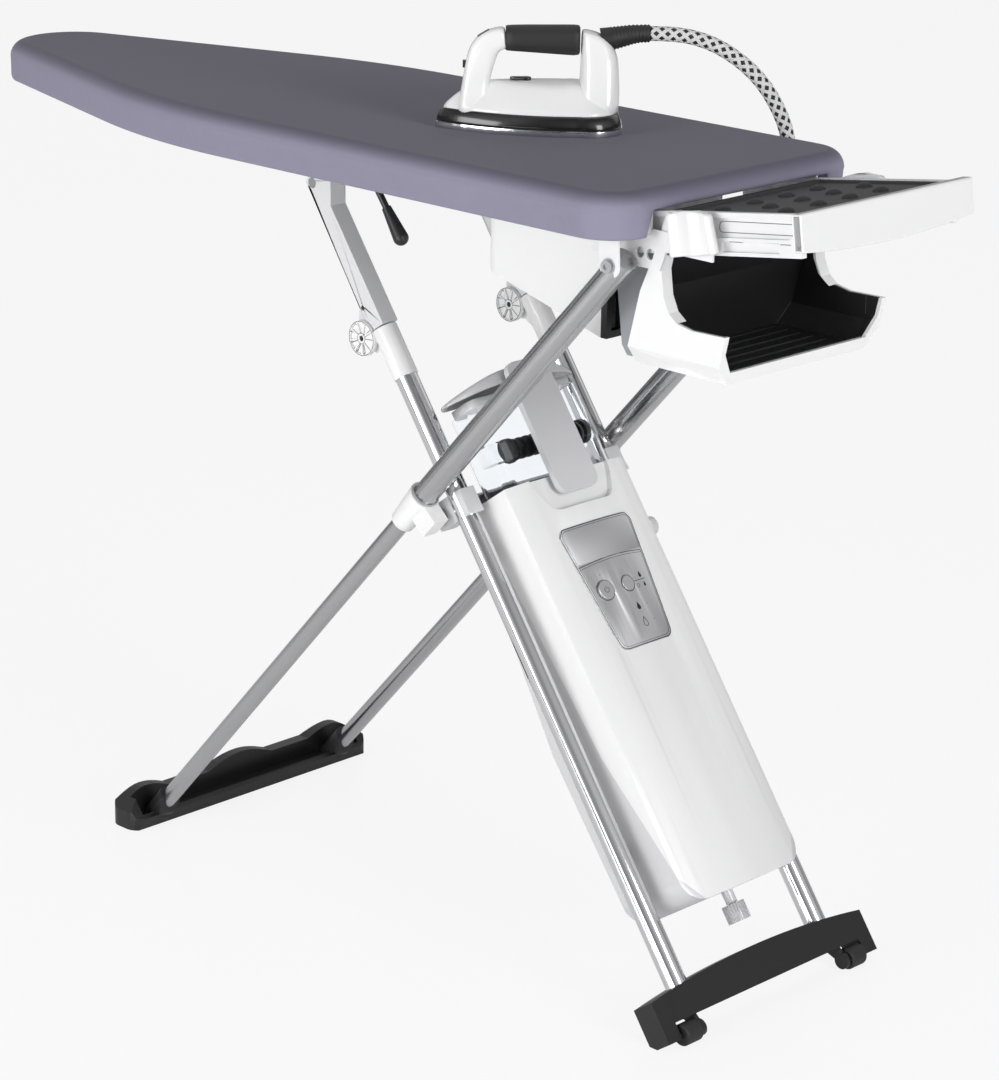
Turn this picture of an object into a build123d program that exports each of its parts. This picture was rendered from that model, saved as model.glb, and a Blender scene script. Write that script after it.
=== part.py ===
from build123d import *
import os
from math import atan2, cos, degrees, pi, radians, sin, sqrt, tan

# A steam ironing system: a height-adjustable board on scissor legs, a steam boiler
# hung on the rear legs, a sliding iron tray over a storage bin, and a steam iron.
# Millimetres, +Z up. The origin is on the floor, midway between the board's nose
# and the front edge of the tray. The board lies along X, with its nose at -X.

# Board
board_length = 1250.0
board_width = 420.0
board_top = 967.0
heel_x = 522.0
hem_depth = 50.0
hem_lip = 17.0
heel_corner = 55.0
nose_radius = 84.5
nose_taper = 17.0
shoulder_radius = 900.0
edge_round = 12.0
cover_wall = 2.5
pad_thickness = 11.0
deck_sheet = 2.0
rim_wall = 2.0
deck_hole_length = 26.0
deck_hole_width = 9.0
deck_pitch_x = 62.0
deck_pitch_y = 44.0
deck_hole_margin = 34.0
deck_plain_heel = 90.0

# Clearances
soft_gap = 0.3
running_fit = 0.05
slide_gap = 0.6
moving_gap = 1.5
button_gap = 0.3

# Legs: the two pairs cross at one pivot shaft
pivot_x = 195.0
pivot_z = 529.0
front_angle = 47.61
rear_angle = 125.5
front_tube_y = 156.0
rear_tube_y = 124.0
front_offset = 25.0
rear_offset = 27.0
front_foot_axis_z = 48.0
rear_foot_axis_z = 51.0
heel_pivot_drop = 83.0
arm_pivot_drop = 77.5

# Front legs: thin lower tubes that slide in fat upper tubes
lower_tube_radius = 11.0
lower_tube_wall = 1.5
upper_tube_radius = 15.0
upper_tube_wall = 2.0
lower_tube_end = -36.0
upper_tube_start_above = 17.0
lower_tube_reach_above = 286.0
upper_tube_past_bolt = 8.0
bush_length = 25.0
bush_flange = 3.0
bush_flange_radius = 16.5
groove_width = 2.6
groove_depth = 0.8
groove_spread = 26.0
sleeve_length = 54.0
sleeve_radius_low = 15.0
sleeve_radius_high = 19.0
sleeve_ear_width = 22.0
sleeve_ear_height = 30.0
sleeve_ear_past = 13.0

# Pivot shaft
bar_side = 24.0
bar_corner = 6.0
bar_half = 108.0
journal_radius = 8.0
journal_end = 164.0
collar_width = 24.0
collar_height = 32.0
collar_wall = 6.0

# Heel pivot
bolt_radius = 4.0
bolt_head_radius = 7.0
bolt_head_thick = 4.0
washer_radius = 9.0
washer_thick = 1.5
notch_clearance = 0.3
notch_front_flare = 17.0
notch_rear_flare = 38.0
tab_radius = 14.0
tab_thick = 3.0
tab_top_back = 18.0
tab_top_front = 10.0
tab_flange = 14.0

# Rear legs and knee
rear_tube_radius = 13.5
rear_tube_wall = 1.5
rear_tube_end = -20.0
rear_tube_top_above = 166.0
knee_above = 232.0
knee_offset = 28.5
knuckle_radius = 15.0
knuckle_plug = 30.0
knee_ear_half = 5.0
knee_ear_radius = 13.0
knee_pin_radius = 5.0
knee_disc_radius = 21.5
knee_disc_thick = 5.7
knee_disc_web = 3.2
knee_spokes = 9
knee_spoke_width = 1.6
knee_rim = 2.2
knee_hub_radius = 6.5
knee_screw_radius = 3.6
knee_slot_radius = 19.0
arm_depth = 26.0
arm_width = 25.0
arm_ear_thick = 3.7
arm_end_gap = 2.0
arm_gusset = 38.0
arm_top_front = 30.0
arm_top_rise = 12.0
arm_screw_radius = 3.0

# Carriage under the board, and the lever that clamps it
carriage_shaft_radius = 6.0
rail_y = 98.0
rail_width = 24.0
rail_length = 140.0
rail_ahead = 46.0
rail_sheet = 2.0
rail_slot = 11.0
rail_above_boss = 4.5
runner_height = 22.0
runner_length = 60.0
runner_neck = 9.0
runner_boss = 11.0
strip_width = 20.0
strip_thick = 4.0
strip_reach = 236.0
eye_radius = 11.5
clamp_x = 133.0
clamp_length = 56.0
clamp_width = 44.0
clamp_floor = 6.0
lever_shaft_radius = 5.0
lever_shaft_above_strip = 22.0
lever_inset = 24.0
lever_shaft_inner = 30.0
cam_radius = 14.0
cam_offset = 7.0
cam_width = 12.0
lever_ear_inset = 45.0
lever_ear_width = 12.0
lever_rod_radius = 4.0
lever_rod_bend = 12.0
lever_knee_dx = 5.0
lever_knee_dz = 11.0
lever_tip_dx = 25.0
lever_tip_dz = 37.0
lever_grip_length = 39.0
lever_grip_small = 5.5
lever_grip_large = 9.0
lever_socket = 12.0

# Feet
front_foot_back_x = -349.0
front_foot_front_x = -293.0
front_foot_half = 200.0
front_foot_end_half = 208.0
front_foot_base = 12.0
front_foot_lip = 15.0
front_foot_wall = 9.0
front_foot_back_wall = 12.0
front_foot_back_lean = 12.0
front_hump_mid = 49.0
front_hump_dip = 35.0
front_hump_outer = 46.0
front_hump_end = 24.0
front_hump_at = 165.0
front_hump_half = 43.0
front_hump_mid_half = 56.0
front_hump_steps = 6
front_socket_wall = 5.0
front_socket_top = -9.0
front_socket_reach = 9.0
front_socket_low = 13.0
front_foot_round = 20.0
rear_foot_half = 186.0
rear_foot_depth = 32.0
rear_foot_top_mid = 6.0
rear_foot_top_end = -7.0
rear_foot_bottom = -38.0
rear_foot_block_in = 164.0
rear_foot_block_end = -58.0
castor_radius = 13.0
castor_x_from_axis = 40.0
castor_lift = 0.5
castor_inner = 134.0
castor_outer = 160.0
castor_lug_in = 126.0
castor_lug_out = 132.0
castor_lug_radius = 10.0
castor_axle_radius = 3.0
castor_axle_sink = 10.0

# Boiler housing, measured up the rear leg from its foot point
housing_half = 100.0
housing_wall = 3.0
housing_front = 48.0
housing_crown = 15.0
housing_bottom = 75.0
housing_top_below = 6.4
housing_corner = 30.0
housing_top_rear = -12.0
housing_shoulder_rear = -30.0
housing_shoulder_below = 28.0
housing_belly_rear = -60.0
housing_belly_at = 300.0
housing_tail_rear = -55.0
housing_tail_at = 100.0
parting_mid_off = 14.0
parting_mid_at = 270.0
parting_low_off = 50.0
recess_top_half = 66.0
recess_low_half = 50.0
recess_depth = 44.0
recess_radius = 20.0
recess_back = 50.5
recess_frame = 4.0
panel_top_below = 67.0
panel_low_at = 374.0
panel_top_half = 62.0
panel_low_half = 43.0
panel_radius = 12.0
panel_proud = 1.0
panel_thick = 2.5
panel_gap = 0.2
panel_split_at = 486.0
panel_split_width = 0.8
panel_split_depth = 0.6
button_at = 449.0
power_button_y = -30.0
power_button_radius = 11.5
steam_button_y = 7.0
steam_button_radius = 9.0
button_proud = 0.8
button_stem = 5.5
button_flange = 1.6
button_travel = 1.0
knob_off = 30.0
knob_at = 512.0
knob_bezel_radius = 16.0
knob_bezel_thick = 3.5
knob_radius = 11.5
knob_thick = 14.0
knob_stem_radius = 4.0
knob_stem_inside = 8.5
knob_ridges = 16
drain_off = 11.0
drain_neck_radius = 7.0
drain_bore_radius = 5.0
drain_neck_length = 15.0
drain_cap_radius = 14.0
drain_cap_length = 22.0
drain_plug_length = 9.0
drain_ridges = 24
ridge_depth = 0.7
inlet_width = 28.0
inlet_height = 20.0
inlet_depth = 24.0
inlet_y = -50.0
inlet_at = 132.0
inlet_socket_depth = 14.0
inlet_socket_wall = 2.5
lug_low_at = 160.0
lug_high_at = 548.0
lug_height = 20.0
lug_depth = 14.0
lug_behind = 9.0

# Inside the housing
vessel_radius = 40.0
vessel_off = -6.0
vessel_low = 100.0
vessel_high = 268.0
vessel_wall = 1.6
vessel_dome = 16.0
vessel_skirt_radius = 30.0
vessel_skirt_wall = 3.0
element_radius = 4.0
element_spread = 14.0
element_length = 90.0
element_plug_radius = 24.0
valve_y = 22.0
valve_side = 18.0
valve_height = 26.0
valve_bore = 3.5
seat_at = 425.0
seat_thick = 3.0
pump_radius = 21.0
pump_length = 58.0
pump_y = -30.0
pump_off = -8.0
pump_body_height = 50.0
pump_foot = 12.0
pump_pipe_radius = 4.0
pump_pipe_y = -12.0
board_sheet = 1.6
board_off = 49.0
board_half = 44.0
board_low = 385.0
board_high = 525.0
board_boss_radius = 4.0
board_boss_y = 38.0
board_boss_low = 395.0
board_boss_high = 512.0
chip_size = 14.0
chip_height = 3.0

# Water tank, lid, grip and filter
tank_half = 90.0
tank_front = 46.0
tank_rear = -7.0
tank_low = 430.0
tank_high = 705.0
tank_wall = 2.0
tank_corner = 16.0
spout_radius = 7.0
spout_length = 4.5
lid_half = 98.0
lid_front = 50.0
lid_rear = -14.0
lid_end_at = 714.0
lid_crown_at = 750.0
lid_thick = 5.0
lid_skirt = 9.0
lid_bridge_half = 30.0
lid_front_play = 2.6
lid_hinge_off = -7.0
lid_hinge_at = 712.0
lid_hinge_radius = 3.0
lid_hinge_length = 22.0
lid_hinge_y = 45.0
grip_half = 33.0
grip_front = 66.0
grip_rear = 58.0
grip_low = 573.0
grip_high = 742.0
grip_round = 14.0
filter_radius = 15.0
filter_off = 26.0
filter_at = 648.0
filter_low_space = 38.0
filter_high_space = 10.0
filter_rib_half = 8.0
filter_rib_reach = 12.0
filter_core_radius = 9.0
filter_cap_thick = 7.0
filter_fins = 10
filter_fin_thick = 3.0

# Blower under the deck
blower_back_x = 220.0
blower_front_x = 406.0
blower_half = 100.0
blower_back_z = 826.0
blower_front_z = 777.0
blower_wall = 3.0
blower_corner = 22.0
grille_thick = 9.0
grille_top_z = 885.0
grille_slots = 9
grille_bar = 5.0
grille_frame = 8.0
fan_x = 350.0
fan_z = 858.0
fan_radius = 55.0
fan_depth = 34.0
fan_blades = 7
fan_blade_thick = 2.0
fan_hub_radius = 14.0
fan_plate = 2.5
motor_radius = 25.0
motor_length = 46.0
motor_shaft_radius = 4.0

# Heel beams, storage bin and tray
beam_inner = 136.5
beam_thick = 3.0
beam_back_x = 457.0
beam_front_x = 600.0
beam_step_x = 526.0
beam_step_z = 902.0
beam_hole_x = 512.0
beam_low_z = 880.0
beam_high_z = 924.0
beam_hole_radius = 6.0
beam_inside = 10.0
bin_half = 136.5
bin_floor_half = 115.0
bin_chamfer = 23.0
bin_wall = 4.0
liner_wall = 3.5
bin_floor_z = 765.0
bin_floor_back = 474.0
bin_floor_front = 606.0
bin_lip_x = 619.0
bin_lip_z = 823.0
bin_notch_x = 571.0
bin_throat_x = 530.0
bin_throat_z = 852.0
bin_neck_x = 526.0
bin_neck_z = 880.0
bin_front_rim = 14.0
bin_front_side = 7.0
bin_cheek_edge = 16.0
bin_cheek_edge_wall = 4.0
bin_top_back = 531.0
bin_top_front = 541.0
bin_top_z = 944.0
bin_mid_back = 496.0
bin_mid_z = 853.0
bin_shoulder_back = 513.0
bin_shoulder_z = 892.0
liner_ribs = 6
liner_rib_height = 1.5
liner_rib_width = 4.0
back_half = 114.0
back_wall = 3.0
back_top_x = 436.0
back_top_z = 892.0
back_low_x = 451.0
back_low_z = 781.0
back_toe_x = 459.0
back_toe_z = 770.0
tray_angle = 8.0
tray_top_z = 944.0
tray_height = 46.0
tray_rail_inner = 124.0
tray_rail_outer = 132.0
tray_rail_back = 110.0
tray_slot_top = 6.0
tray_slot_low = 27.0
tray_slot_deep = 5.0
tray_floor_top = 9.0
tray_floor_thick = 3.0
tray_floor_back = 4.0
tray_bar_thick = 13.0
tray_bar_half = 145.0
tray_bar_height = 40.0
tray_bar_rise = 2.0
tray_bar_bow = 8.0
tray_bar_wall = 2.5
mat_thick = 5.0
mat_rim = 8.0
mat_rim_height = 8.0
mat_bump_radius = 9.0
mat_bump_height = 5.0
mat_bump_rows = 3
mat_bump_columns = 4
roller_radius = 10.0
roller_pin_radius = 4.0
roller_length = 4.0
roller_front_t = 40.0
roller_rear_t = -52.0
holder_back_x = 542.0
holder_front_top_x = 600.0
holder_front_low_x = 614.0
holder_low_z = 900.0
holder_high_z = 955.0
holder_outer = 153.0
holder_head_z = 937.0
holder_head_inner = 134.0

# Steam hose: a route chosen by hand, from the iron down to the collar on the board
hose_radius = 8.5
hose_points = [
    (284.0, 105.0, 1079.0),
    (303.0, 123.5, 1079.0),
    (322.0, 141.5, 1075.0),
    (340.5, 158.5, 1066.0),
    (357.5, 174.0, 1052.0),
    (372.0, 188.5, 1035.0),
    (383.0, 201.0, 1015.0),
    (391.0, 211.5, 993.0),
    (396.5, 219.5, 971.0),
    (399.0, 223.5, 949.0),
    (399.0, 223.5, 930.0),
]
hose_ease = 0.45
collar_hose_radius = 12.0
collar_hose_length = 40.0
collar_arm_height = 9.0
collar_arm_width = 24.0
collar_arm_root = 30.0

# Iron, measured along its own axis from its middle
iron_x = 184.4
iron_y = 7.5
iron_turn = 44.33
iron_tip = -107.0
iron_tail = 109.0
iron_half = 57.0
sole_thick = 7.0
ring_top = 20.0
ring_lean = 6.0
dome_top = 56.0
dome_lean = 34.0
steam_hole_radius = 2.0
steam_hole_pitch = 16.0
steam_hole_inset = 16.0
post_half = 14.0
post_foot_front = -78.0
post_foot_rear = -47.0
post_mid_front = -72.0
post_mid_rear = -37.0
post_mid_z = 84.0
handle_top = 117.0
handle_under = 92.0
handle_bend = -45.0
core_half = 9.0
core_low = 97.0
core_high = 111.0
grip_start = -27.0
grip_end = 59.0
grip_start_low = 91.0
grip_start_high = 118.0
grip_end_low = 86.0
grip_end_high = 120.0
grip_half_width = 17.0
tower_inner = 59.0
tower_top_front = 62.0
tower_top_z = 115.0
tower_shoulder = 97.0
tower_shoulder_z = 98.0
tower_low_half = 40.0
tower_top_half = 18.0
oval_s = -52.0
oval_z = 109.0
oval_long = 8.0
oval_wide = 5.0
oval_proud = 1.0
oval_sink = 5.0
front_button_s = -74.5
front_button_z = 74.0
front_button_tall = 8.0
front_button_wide = 8.0
front_button_depth = 6.0
front_button_proud = 1.5
dome_lever_s = -2.0
dome_lever_length = 32.0
dome_lever_width = 12.0
dome_lever_thick = 3.5
dome_pin_radius = 3.0
dome_pin_length = 6.0
relief_start = 86.0
relief_start_z = 103.0
relief_root_radius = 15.0
relief_end_radius = 10.5
relief_tail = 12.0

# Values that follow from the sizes above
nose_x = heel_x - board_length
half_width = board_width / 2
lever_y = lever_inset - half_width
lever_ear_y = lever_ear_inset - half_width
filter_low_y = filter_low_space - tank_half
filter_high_y = tank_half - filter_high_space
hem_bottom = board_top - hem_depth
cover_under = board_top - cover_wall
pad_top = cover_under - soft_gap
pad_bottom = pad_top - pad_thickness
deck_top = pad_bottom - soft_gap
deck_under = deck_top - deck_sheet
rim_inset = cover_wall + soft_gap
rim_bottom = hem_bottom + cover_wall + soft_gap

front_a = radians(front_angle)
rear_a = radians(rear_angle)
front_dir = (cos(front_a), sin(front_a))
front_normal = (sin(front_a), -cos(front_a))
rear_dir = (cos(rear_a), sin(rear_a))
rear_normal = (sin(rear_a), -cos(rear_a))
front_axis = (pivot_x - front_offset * front_normal[0], pivot_z - front_offset * front_normal[1])
rear_axis = (pivot_x + rear_offset * rear_normal[0], pivot_z + rear_offset * rear_normal[1])
front_pivot_along = (front_axis[1] - front_foot_axis_z) / front_dir[1]
rear_pivot_along = (rear_axis[1] - rear_foot_axis_z) / rear_dir[1]
front_base = (front_axis[0] - front_pivot_along * front_dir[0], front_foot_axis_z)
rear_base = (rear_axis[0] - rear_pivot_along * rear_dir[0], rear_foot_axis_z)
heel_pivot_z = board_top - heel_pivot_drop
heel_along = (heel_pivot_z - front_foot_axis_z) / front_dir[1]
heel_pivot_x = front_base[0] + heel_along * front_dir[0]
arm_pivot_z = board_top - arm_pivot_drop
arm_along = (arm_pivot_z - rear_foot_axis_z) / rear_dir[1]
arm_pivot_x = rear_base[0] + arm_along * rear_dir[0]
rail_bottom = arm_pivot_z + runner_boss + rail_above_boss
knee_along = rear_pivot_along + knee_above
upper_start = front_pivot_along + upper_tube_start_above
lower_end = front_pivot_along + lower_tube_reach_above
upper_end = heel_along + upper_tube_past_bolt
rear_tube_top = rear_pivot_along + rear_tube_top_above
housing_top = rear_pivot_along - housing_top_below
housing_shoulder_at = rear_pivot_along - housing_shoulder_below

front = Plane(
    origin=(front_base[0], 0, front_base[1]),
    x_dir=(front_normal[0], 0, front_normal[1]),
    z_dir=(front_dir[0], 0, front_dir[1]),
).location
rear = Plane(
    origin=(rear_base[0], 0, rear_base[1]),
    x_dir=(rear_normal[0], 0, rear_normal[1]),
    z_dir=(rear_dir[0], 0, rear_dir[1]),
).location
tray_a = radians(tray_angle)
tray = Plane(
    origin=(heel_x, 0, tray_top_z),
    x_dir=(cos(tray_a), 0, sin(tray_a)),
    z_dir=(-sin(tray_a), 0, cos(tray_a)),
).location
tray_bar_drop = tray_bar_height - tray_bar_rise + tray_bar_bow
tray_front_t = (-nose_x - heel_x - tray_bar_drop * sin(tray_a)) / cos(tray_a)
iron_a = radians(iron_turn)
iron = Plane(
    origin=(iron_x, iron_y, board_top + soft_gap),
    x_dir=(cos(iron_a), sin(iron_a), 0),
    z_dir=(0, 0, 1),
).location


def block(x_low, x_high, y_low, y_high, z_low, z_high):
    """A box between two corners."""
    middle = Pos((x_low + x_high) / 2, (y_low + y_high) / 2, (z_low + z_high) / 2)
    return middle * Box(x_high - x_low, y_high - y_low, z_high - z_low)


def upright(radius, z_low, z_high, x=0.0, y=0.0):
    """A round bar along Z."""
    bar = Cylinder(radius, z_high - z_low, align=(Align.CENTER, Align.CENTER, Align.MIN))
    return Pos(x, y, z_low) * bar


def crosswise(radius, y_low, y_high, x, z):
    """A round bar along Y."""
    bar = Cylinder(radius, y_high - y_low, align=(Align.CENTER, Align.CENTER, Align.MIN))
    return Pos(x, y_low, z) * Rot(-90, 0, 0) * bar


def lengthwise(radius, x_low, x_high, y, z):
    """A round bar along X."""
    bar = Cylinder(radius, x_high - x_low, align=(Align.CENTER, Align.CENTER, Align.MIN))
    return Pos(x_low, y, z) * Rot(0, 90, 0) * bar


def polygon(points, radius=0.0):
    """A flat outline through points, its corners rounded alike."""
    face = make_face(Polyline(*points, close=True))
    if radius > 0:
        face = fillet(face.vertices(), radius)
    return face


def side_slab(points, y_low, y_high, radius=0.0):
    """An outline in X and Z, thick along Y."""
    plane = Plane(origin=(0, y_high, 0), x_dir=(1, 0, 0), z_dir=(0, -1, 0))
    return extrude(plane * polygon(points, radius), y_high - y_low)


def front_slab(points, x_low, x_high, radius=0.0):
    """An outline in Y and Z, thick along X."""
    plane = Plane(origin=(x_low, 0, 0), x_dir=(0, 1, 0), z_dir=(1, 0, 0))
    return extrude(plane * polygon(points, radius), x_high - x_low)


def rounded_upright(x_low, x_high, y_low, y_high, z_low, z_high, radius):
    """A box along Z with its four upright corners rounded."""
    corners = [(x_low, y_low), (x_high, y_low), (x_high, y_high), (x_low, y_high)]
    return extrude(Pos(0, 0, z_low) * polygon(corners, radius), z_high - z_low)


def on_both_sides(shape):
    """A shape and its mirror image across the middle of the board."""
    return [shape, mirror(shape, about=Plane.XZ)]


def rear_point(off, along):
    """X and Z of a point given in the rear leg's own directions."""
    x = rear_base[0] + off * rear_normal[0] + along * rear_dir[0]
    z = rear_base[1] + off * rear_normal[1] + along * rear_dir[1]
    return (x, z)


def save(name, *shapes):
    """Write one piece, or one group of equal pieces, under its own name."""
    solids = []
    for shape in shapes:
        solids.extend(shape.solids())
    export_step(Compound(solids), "parts/" + name + ".step")


# Board: cover, pad and perforated deck


def board_face(inset):
    """The board seen from above, drawn in by an inset."""
    taper = radians(nose_taper)
    nose_centre = nose_x + nose_radius
    nose = nose_radius - inset
    touch = (nose_centre - nose * sin(taper), nose * cos(taper))
    reach = (half_width - nose_radius * cos(taper)) / sin(taper)
    corner_x = nose_centre - nose_radius * sin(taper) + reach * cos(taper)
    tangent = shoulder_radius * tan(taper / 2)
    bend = shoulder_radius - inset
    bend_centre = (corner_x + tangent, half_width - shoulder_radius)
    bend_start = (corner_x + tangent, half_width - inset)
    bend_end = (bend_centre[0] - bend * sin(taper), bend_centre[1] + bend * cos(taper))
    bend_mid = (bend_centre[0] - bend * sin(taper / 2), bend_centre[1] + bend * cos(taper / 2))
    corner = heel_corner - inset
    centre = (heel_x - heel_corner, half_width - heel_corner)
    corner_mid = (centre[0] + corner * sqrt(0.5), centre[1] + corner * sqrt(0.5))
    upper = [
        ThreePointArc((heel_x - inset, centre[1]), corner_mid, (centre[0], half_width - inset)),
        Line((centre[0], half_width - inset), bend_start),
        ThreePointArc(bend_start, bend_mid, bend_end),
        Line(bend_end, touch),
    ]
    lower = [mirror(edge, about=Plane.XZ) for edge in upper]
    nose_arc = ThreePointArc(touch, (nose_centre - nose, 0), (touch[0], -touch[1]))
    heel_line = Line((heel_x - inset, -centre[1]), (heel_x - inset, centre[1]))
    return make_face(Curve() + [*upper, nose_arc, *lower, heel_line])


def rounded_board(inset, z_low, z_high, radius):
    """A slab of the board's outline with its upper edge rounded."""
    slab = Pos(0, 0, z_low) * extrude(board_face(inset), z_high - z_low)
    rim = slab.faces().sort_by(Axis.Z)[-1].edges()
    return fillet(rim, radius)


def tray_gate(z_low):
    """The gap in the heel that the tray passes through."""
    half = tray_rail_outer + 15
    top = tray_top_z + 4
    return block(heel_x - 60, heel_x + 20, -half, half, z_low, top)


def board_cover():
    shell = rounded_board(0, hem_bottom, board_top, edge_round)
    shell -= rounded_board(cover_wall, hem_bottom + cover_wall, cover_under, edge_round - cover_wall)
    shell -= Pos(0, 0, hem_bottom - 1) * extrude(board_face(hem_lip), cover_wall + 2)
    return shell - tray_gate(hem_bottom - 1)


def board_pad():
    return rounded_board(rim_inset, pad_bottom, pad_top, edge_round - rim_inset)


def deck_slots():
    """Round-ended holes in staggered rows that let the air through."""
    slots = []
    rows = int(half_width // deck_pitch_y)
    columns = int(board_length // deck_pitch_x)
    for row in range(-rows, rows + 1):
        y = row * deck_pitch_y
        shift = deck_pitch_x / 2 if row % 2 else 0
        for column in range(columns + 1):
            x = heel_x - deck_plain_heel - shift - column * deck_pitch_x
            edge = half_width - max(0.0, (-half_width - x)) * tan(radians(nose_taper))
            if abs(y) < edge - deck_hole_margin and x > nose_x + deck_hole_margin:
                slots.append(Pos(x, y) * SlotOverall(deck_hole_length, deck_hole_width))
    return slots


def slide_rail():
    """One slotted channel that the carriage runs in, at +Y."""
    low = rail_bottom
    start = arm_pivot_x + rail_ahead - rail_length
    end = arm_pivot_x + rail_ahead
    y_in = rail_y - rail_width / 2
    y_out = rail_y + rail_width / 2
    rail = block(start, end, y_in, y_out, low, deck_under)
    rail -= block(
        start - 1, end + 1,
        y_in + rail_sheet, y_out - rail_sheet,
        low + rail_sheet, deck_under - rail_sheet,
    )
    slot = rail_slot / 2
    return rail - block(start - 1, end + 1, rail_y - slot, rail_y + slot, low - 1, low + 3)


def board_deck():
    sheet = board_face(rim_inset)
    for slot in deck_slots():
        sheet -= slot
    deck = Pos(0, 0, deck_under) * extrude(sheet, deck_sheet)
    rim = extrude(board_face(rim_inset), deck_under - rim_bottom)
    rim -= extrude(board_face(rim_inset + rim_wall), deck_under - rim_bottom)
    deck += Pos(0, 0, rim_bottom) * rim
    deck -= tray_gate(rim_bottom - 1)
    for rail in on_both_sides(slide_rail()):
        deck += rail
    return deck


# Heel brackets with the open notches that the front legs hang in


def heel_bracket():
    inner = front_tube_y + upper_tube_radius + moving_gap
    outline = [
        (heel_pivot_x - tab_radius, heel_pivot_z),
        (heel_pivot_x + tab_radius, heel_pivot_z),
        (heel_pivot_x + tab_top_front, deck_under),
        (heel_pivot_x - tab_top_back, deck_under),
    ]
    tab = side_slab(outline, inner, inner + tab_thick)
    tab += crosswise(tab_radius, inner, inner + tab_thick, heel_pivot_x, heel_pivot_z)
    tab += block(
        heel_pivot_x - tab_top_back, heel_pivot_x + tab_top_front,
        inner + tab_thick - tab_flange, inner + tab_thick,
        deck_under - tab_thick, deck_under,
    )
    radius = bolt_radius + notch_clearance
    ahead = radians(notch_front_flare)
    behind = radians(notch_rear_flare)
    drop = tab_radius + 4
    ahead_top = (heel_pivot_x + radius * cos(ahead), heel_pivot_z + radius * sin(ahead))
    behind_top = (heel_pivot_x - radius * cos(behind), heel_pivot_z + radius * sin(behind))
    notch = [
        behind_top,
        ahead_top,
        (ahead_top[0] + (ahead_top[1] - heel_pivot_z + drop) * tan(ahead), heel_pivot_z - drop),
        (behind_top[0] - (behind_top[1] - heel_pivot_z + drop) * tan(behind), heel_pivot_z - drop),
    ]
    tab -= side_slab(notch, inner - 1, inner + tab_thick + 1)
    return tab - crosswise(radius, inner - 1, inner + tab_thick + 1, heel_pivot_x, heel_pivot_z)


def heel_beam():
    """A steel cheek that carries the bin, the tray and its holder, at +Y."""
    outer = beam_inner + beam_thick
    outline = [
        (beam_back_x, beam_low_z),
        (beam_step_x, beam_low_z),
        (beam_step_x + 8, beam_step_z),
        (beam_front_x, beam_step_z),
        (beam_front_x, beam_high_z),
        (heel_x - beam_inside, beam_high_z),
        (heel_x - beam_inside, deck_under),
        (beam_back_x, deck_under),
    ]
    beam = side_slab(outline, beam_inner, outer)
    hole_z = (beam_low_z + beam_high_z) / 2
    for x in (beam_back_x + 40, beam_hole_x):
        beam -= crosswise(beam_hole_radius, beam_inner - 1, outer + 1, x, hole_z - 6)
    low = tray_rail_outer - tray_slot_deep + slide_gap
    wheel = crosswise(roller_radius, low, low + roller_length, 0, 0)
    wheel += crosswise(roller_pin_radius, low, outer, 0, 0)
    middle = -(tray_slot_top + tray_slot_low) / 2
    return beam + tray * (Pos(roller_rear_t, 0, middle) * wheel)


def holder_block():
    """The moulded block beside the tray, with the tray's front roller, at +Y."""
    inner = beam_inner + beam_thick
    outline = [
        (holder_back_x, holder_low_z),
        (holder_front_low_x, holder_low_z),
        (holder_front_top_x, holder_high_z),
        (holder_back_x + 4, holder_high_z),
    ]
    body = side_slab(outline, inner, holder_outer)
    head = side_slab(outline, holder_head_inner, inner)
    body += head & block(
        holder_back_x - 1, holder_front_low_x + 1,
        holder_head_inner - 1, inner + 1,
        holder_head_z, holder_high_z + 1,
    )
    low = tray_rail_outer - tray_slot_deep + slide_gap
    wheel = crosswise(roller_radius, low, low + roller_length, 0, 0)
    wheel += crosswise(roller_pin_radius, low, inner + 1, 0, 0)
    middle = -(tray_slot_top + tray_slot_low) / 2
    return body + tray * (Pos(roller_front_t, 0, middle) * wheel)


# Storage bin under the tray


def bin_front_edge():
    """The front edge of the bin's upper cheeks, from the low step to the top."""
    return [
        (bin_notch_x, bin_lip_z - 1),
        (bin_throat_x + 20, bin_throat_z - 26),
        (bin_throat_x + 8, bin_throat_z - 17),
        (bin_throat_x, bin_throat_z),
        (bin_neck_x, bin_neck_z),
        (bin_top_front, bin_top_z),
    ]


def bin_outline():
    return [
        (bin_floor_back, bin_floor_z),
        (bin_floor_front, bin_floor_z),
        (bin_lip_x, bin_lip_z),
        *bin_front_edge(),
        (bin_top_back, bin_top_z),
        (bin_shoulder_back, bin_shoulder_z),
        (bin_mid_back, bin_mid_z),
    ]


def bin_section(inset):
    """The bin seen from the front: upright sides and chamfered lower corners."""
    side = bin_half - inset
    floor = bin_floor_half - inset * 0.5
    low = bin_floor_z + inset
    return [
        (-floor, low), (floor, low),
        (side, low + bin_chamfer), (side, bin_top_z + 1),
        (-side, bin_top_z + 1), (-side, low + bin_chamfer),
    ]


def bin_hollow(inset):
    """The space inside the bin's walls, open at the top and front."""
    lip_top = bin_lip_z + 40
    slope = (bin_lip_x - bin_floor_front) / (bin_lip_z - bin_floor_z)
    outline = [
        (bin_floor_back + inset * 1.3, bin_floor_z + inset),
        (bin_floor_front - inset, bin_floor_z + inset),
        (bin_lip_x - inset + slope * 40, lip_top),
        (bin_lip_x + 20, bin_top_z + 30),
        (bin_top_back + inset + 9, bin_top_z + 30),
        (bin_shoulder_back + inset * 1.1, bin_shoulder_z),
        (bin_mid_back + inset * 1.05, bin_mid_z),
    ]
    hollow = side_slab(outline, -bin_half, bin_half)
    return hollow & front_slab(bin_section(inset), bin_floor_back - 60, bin_lip_x + 60)


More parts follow.
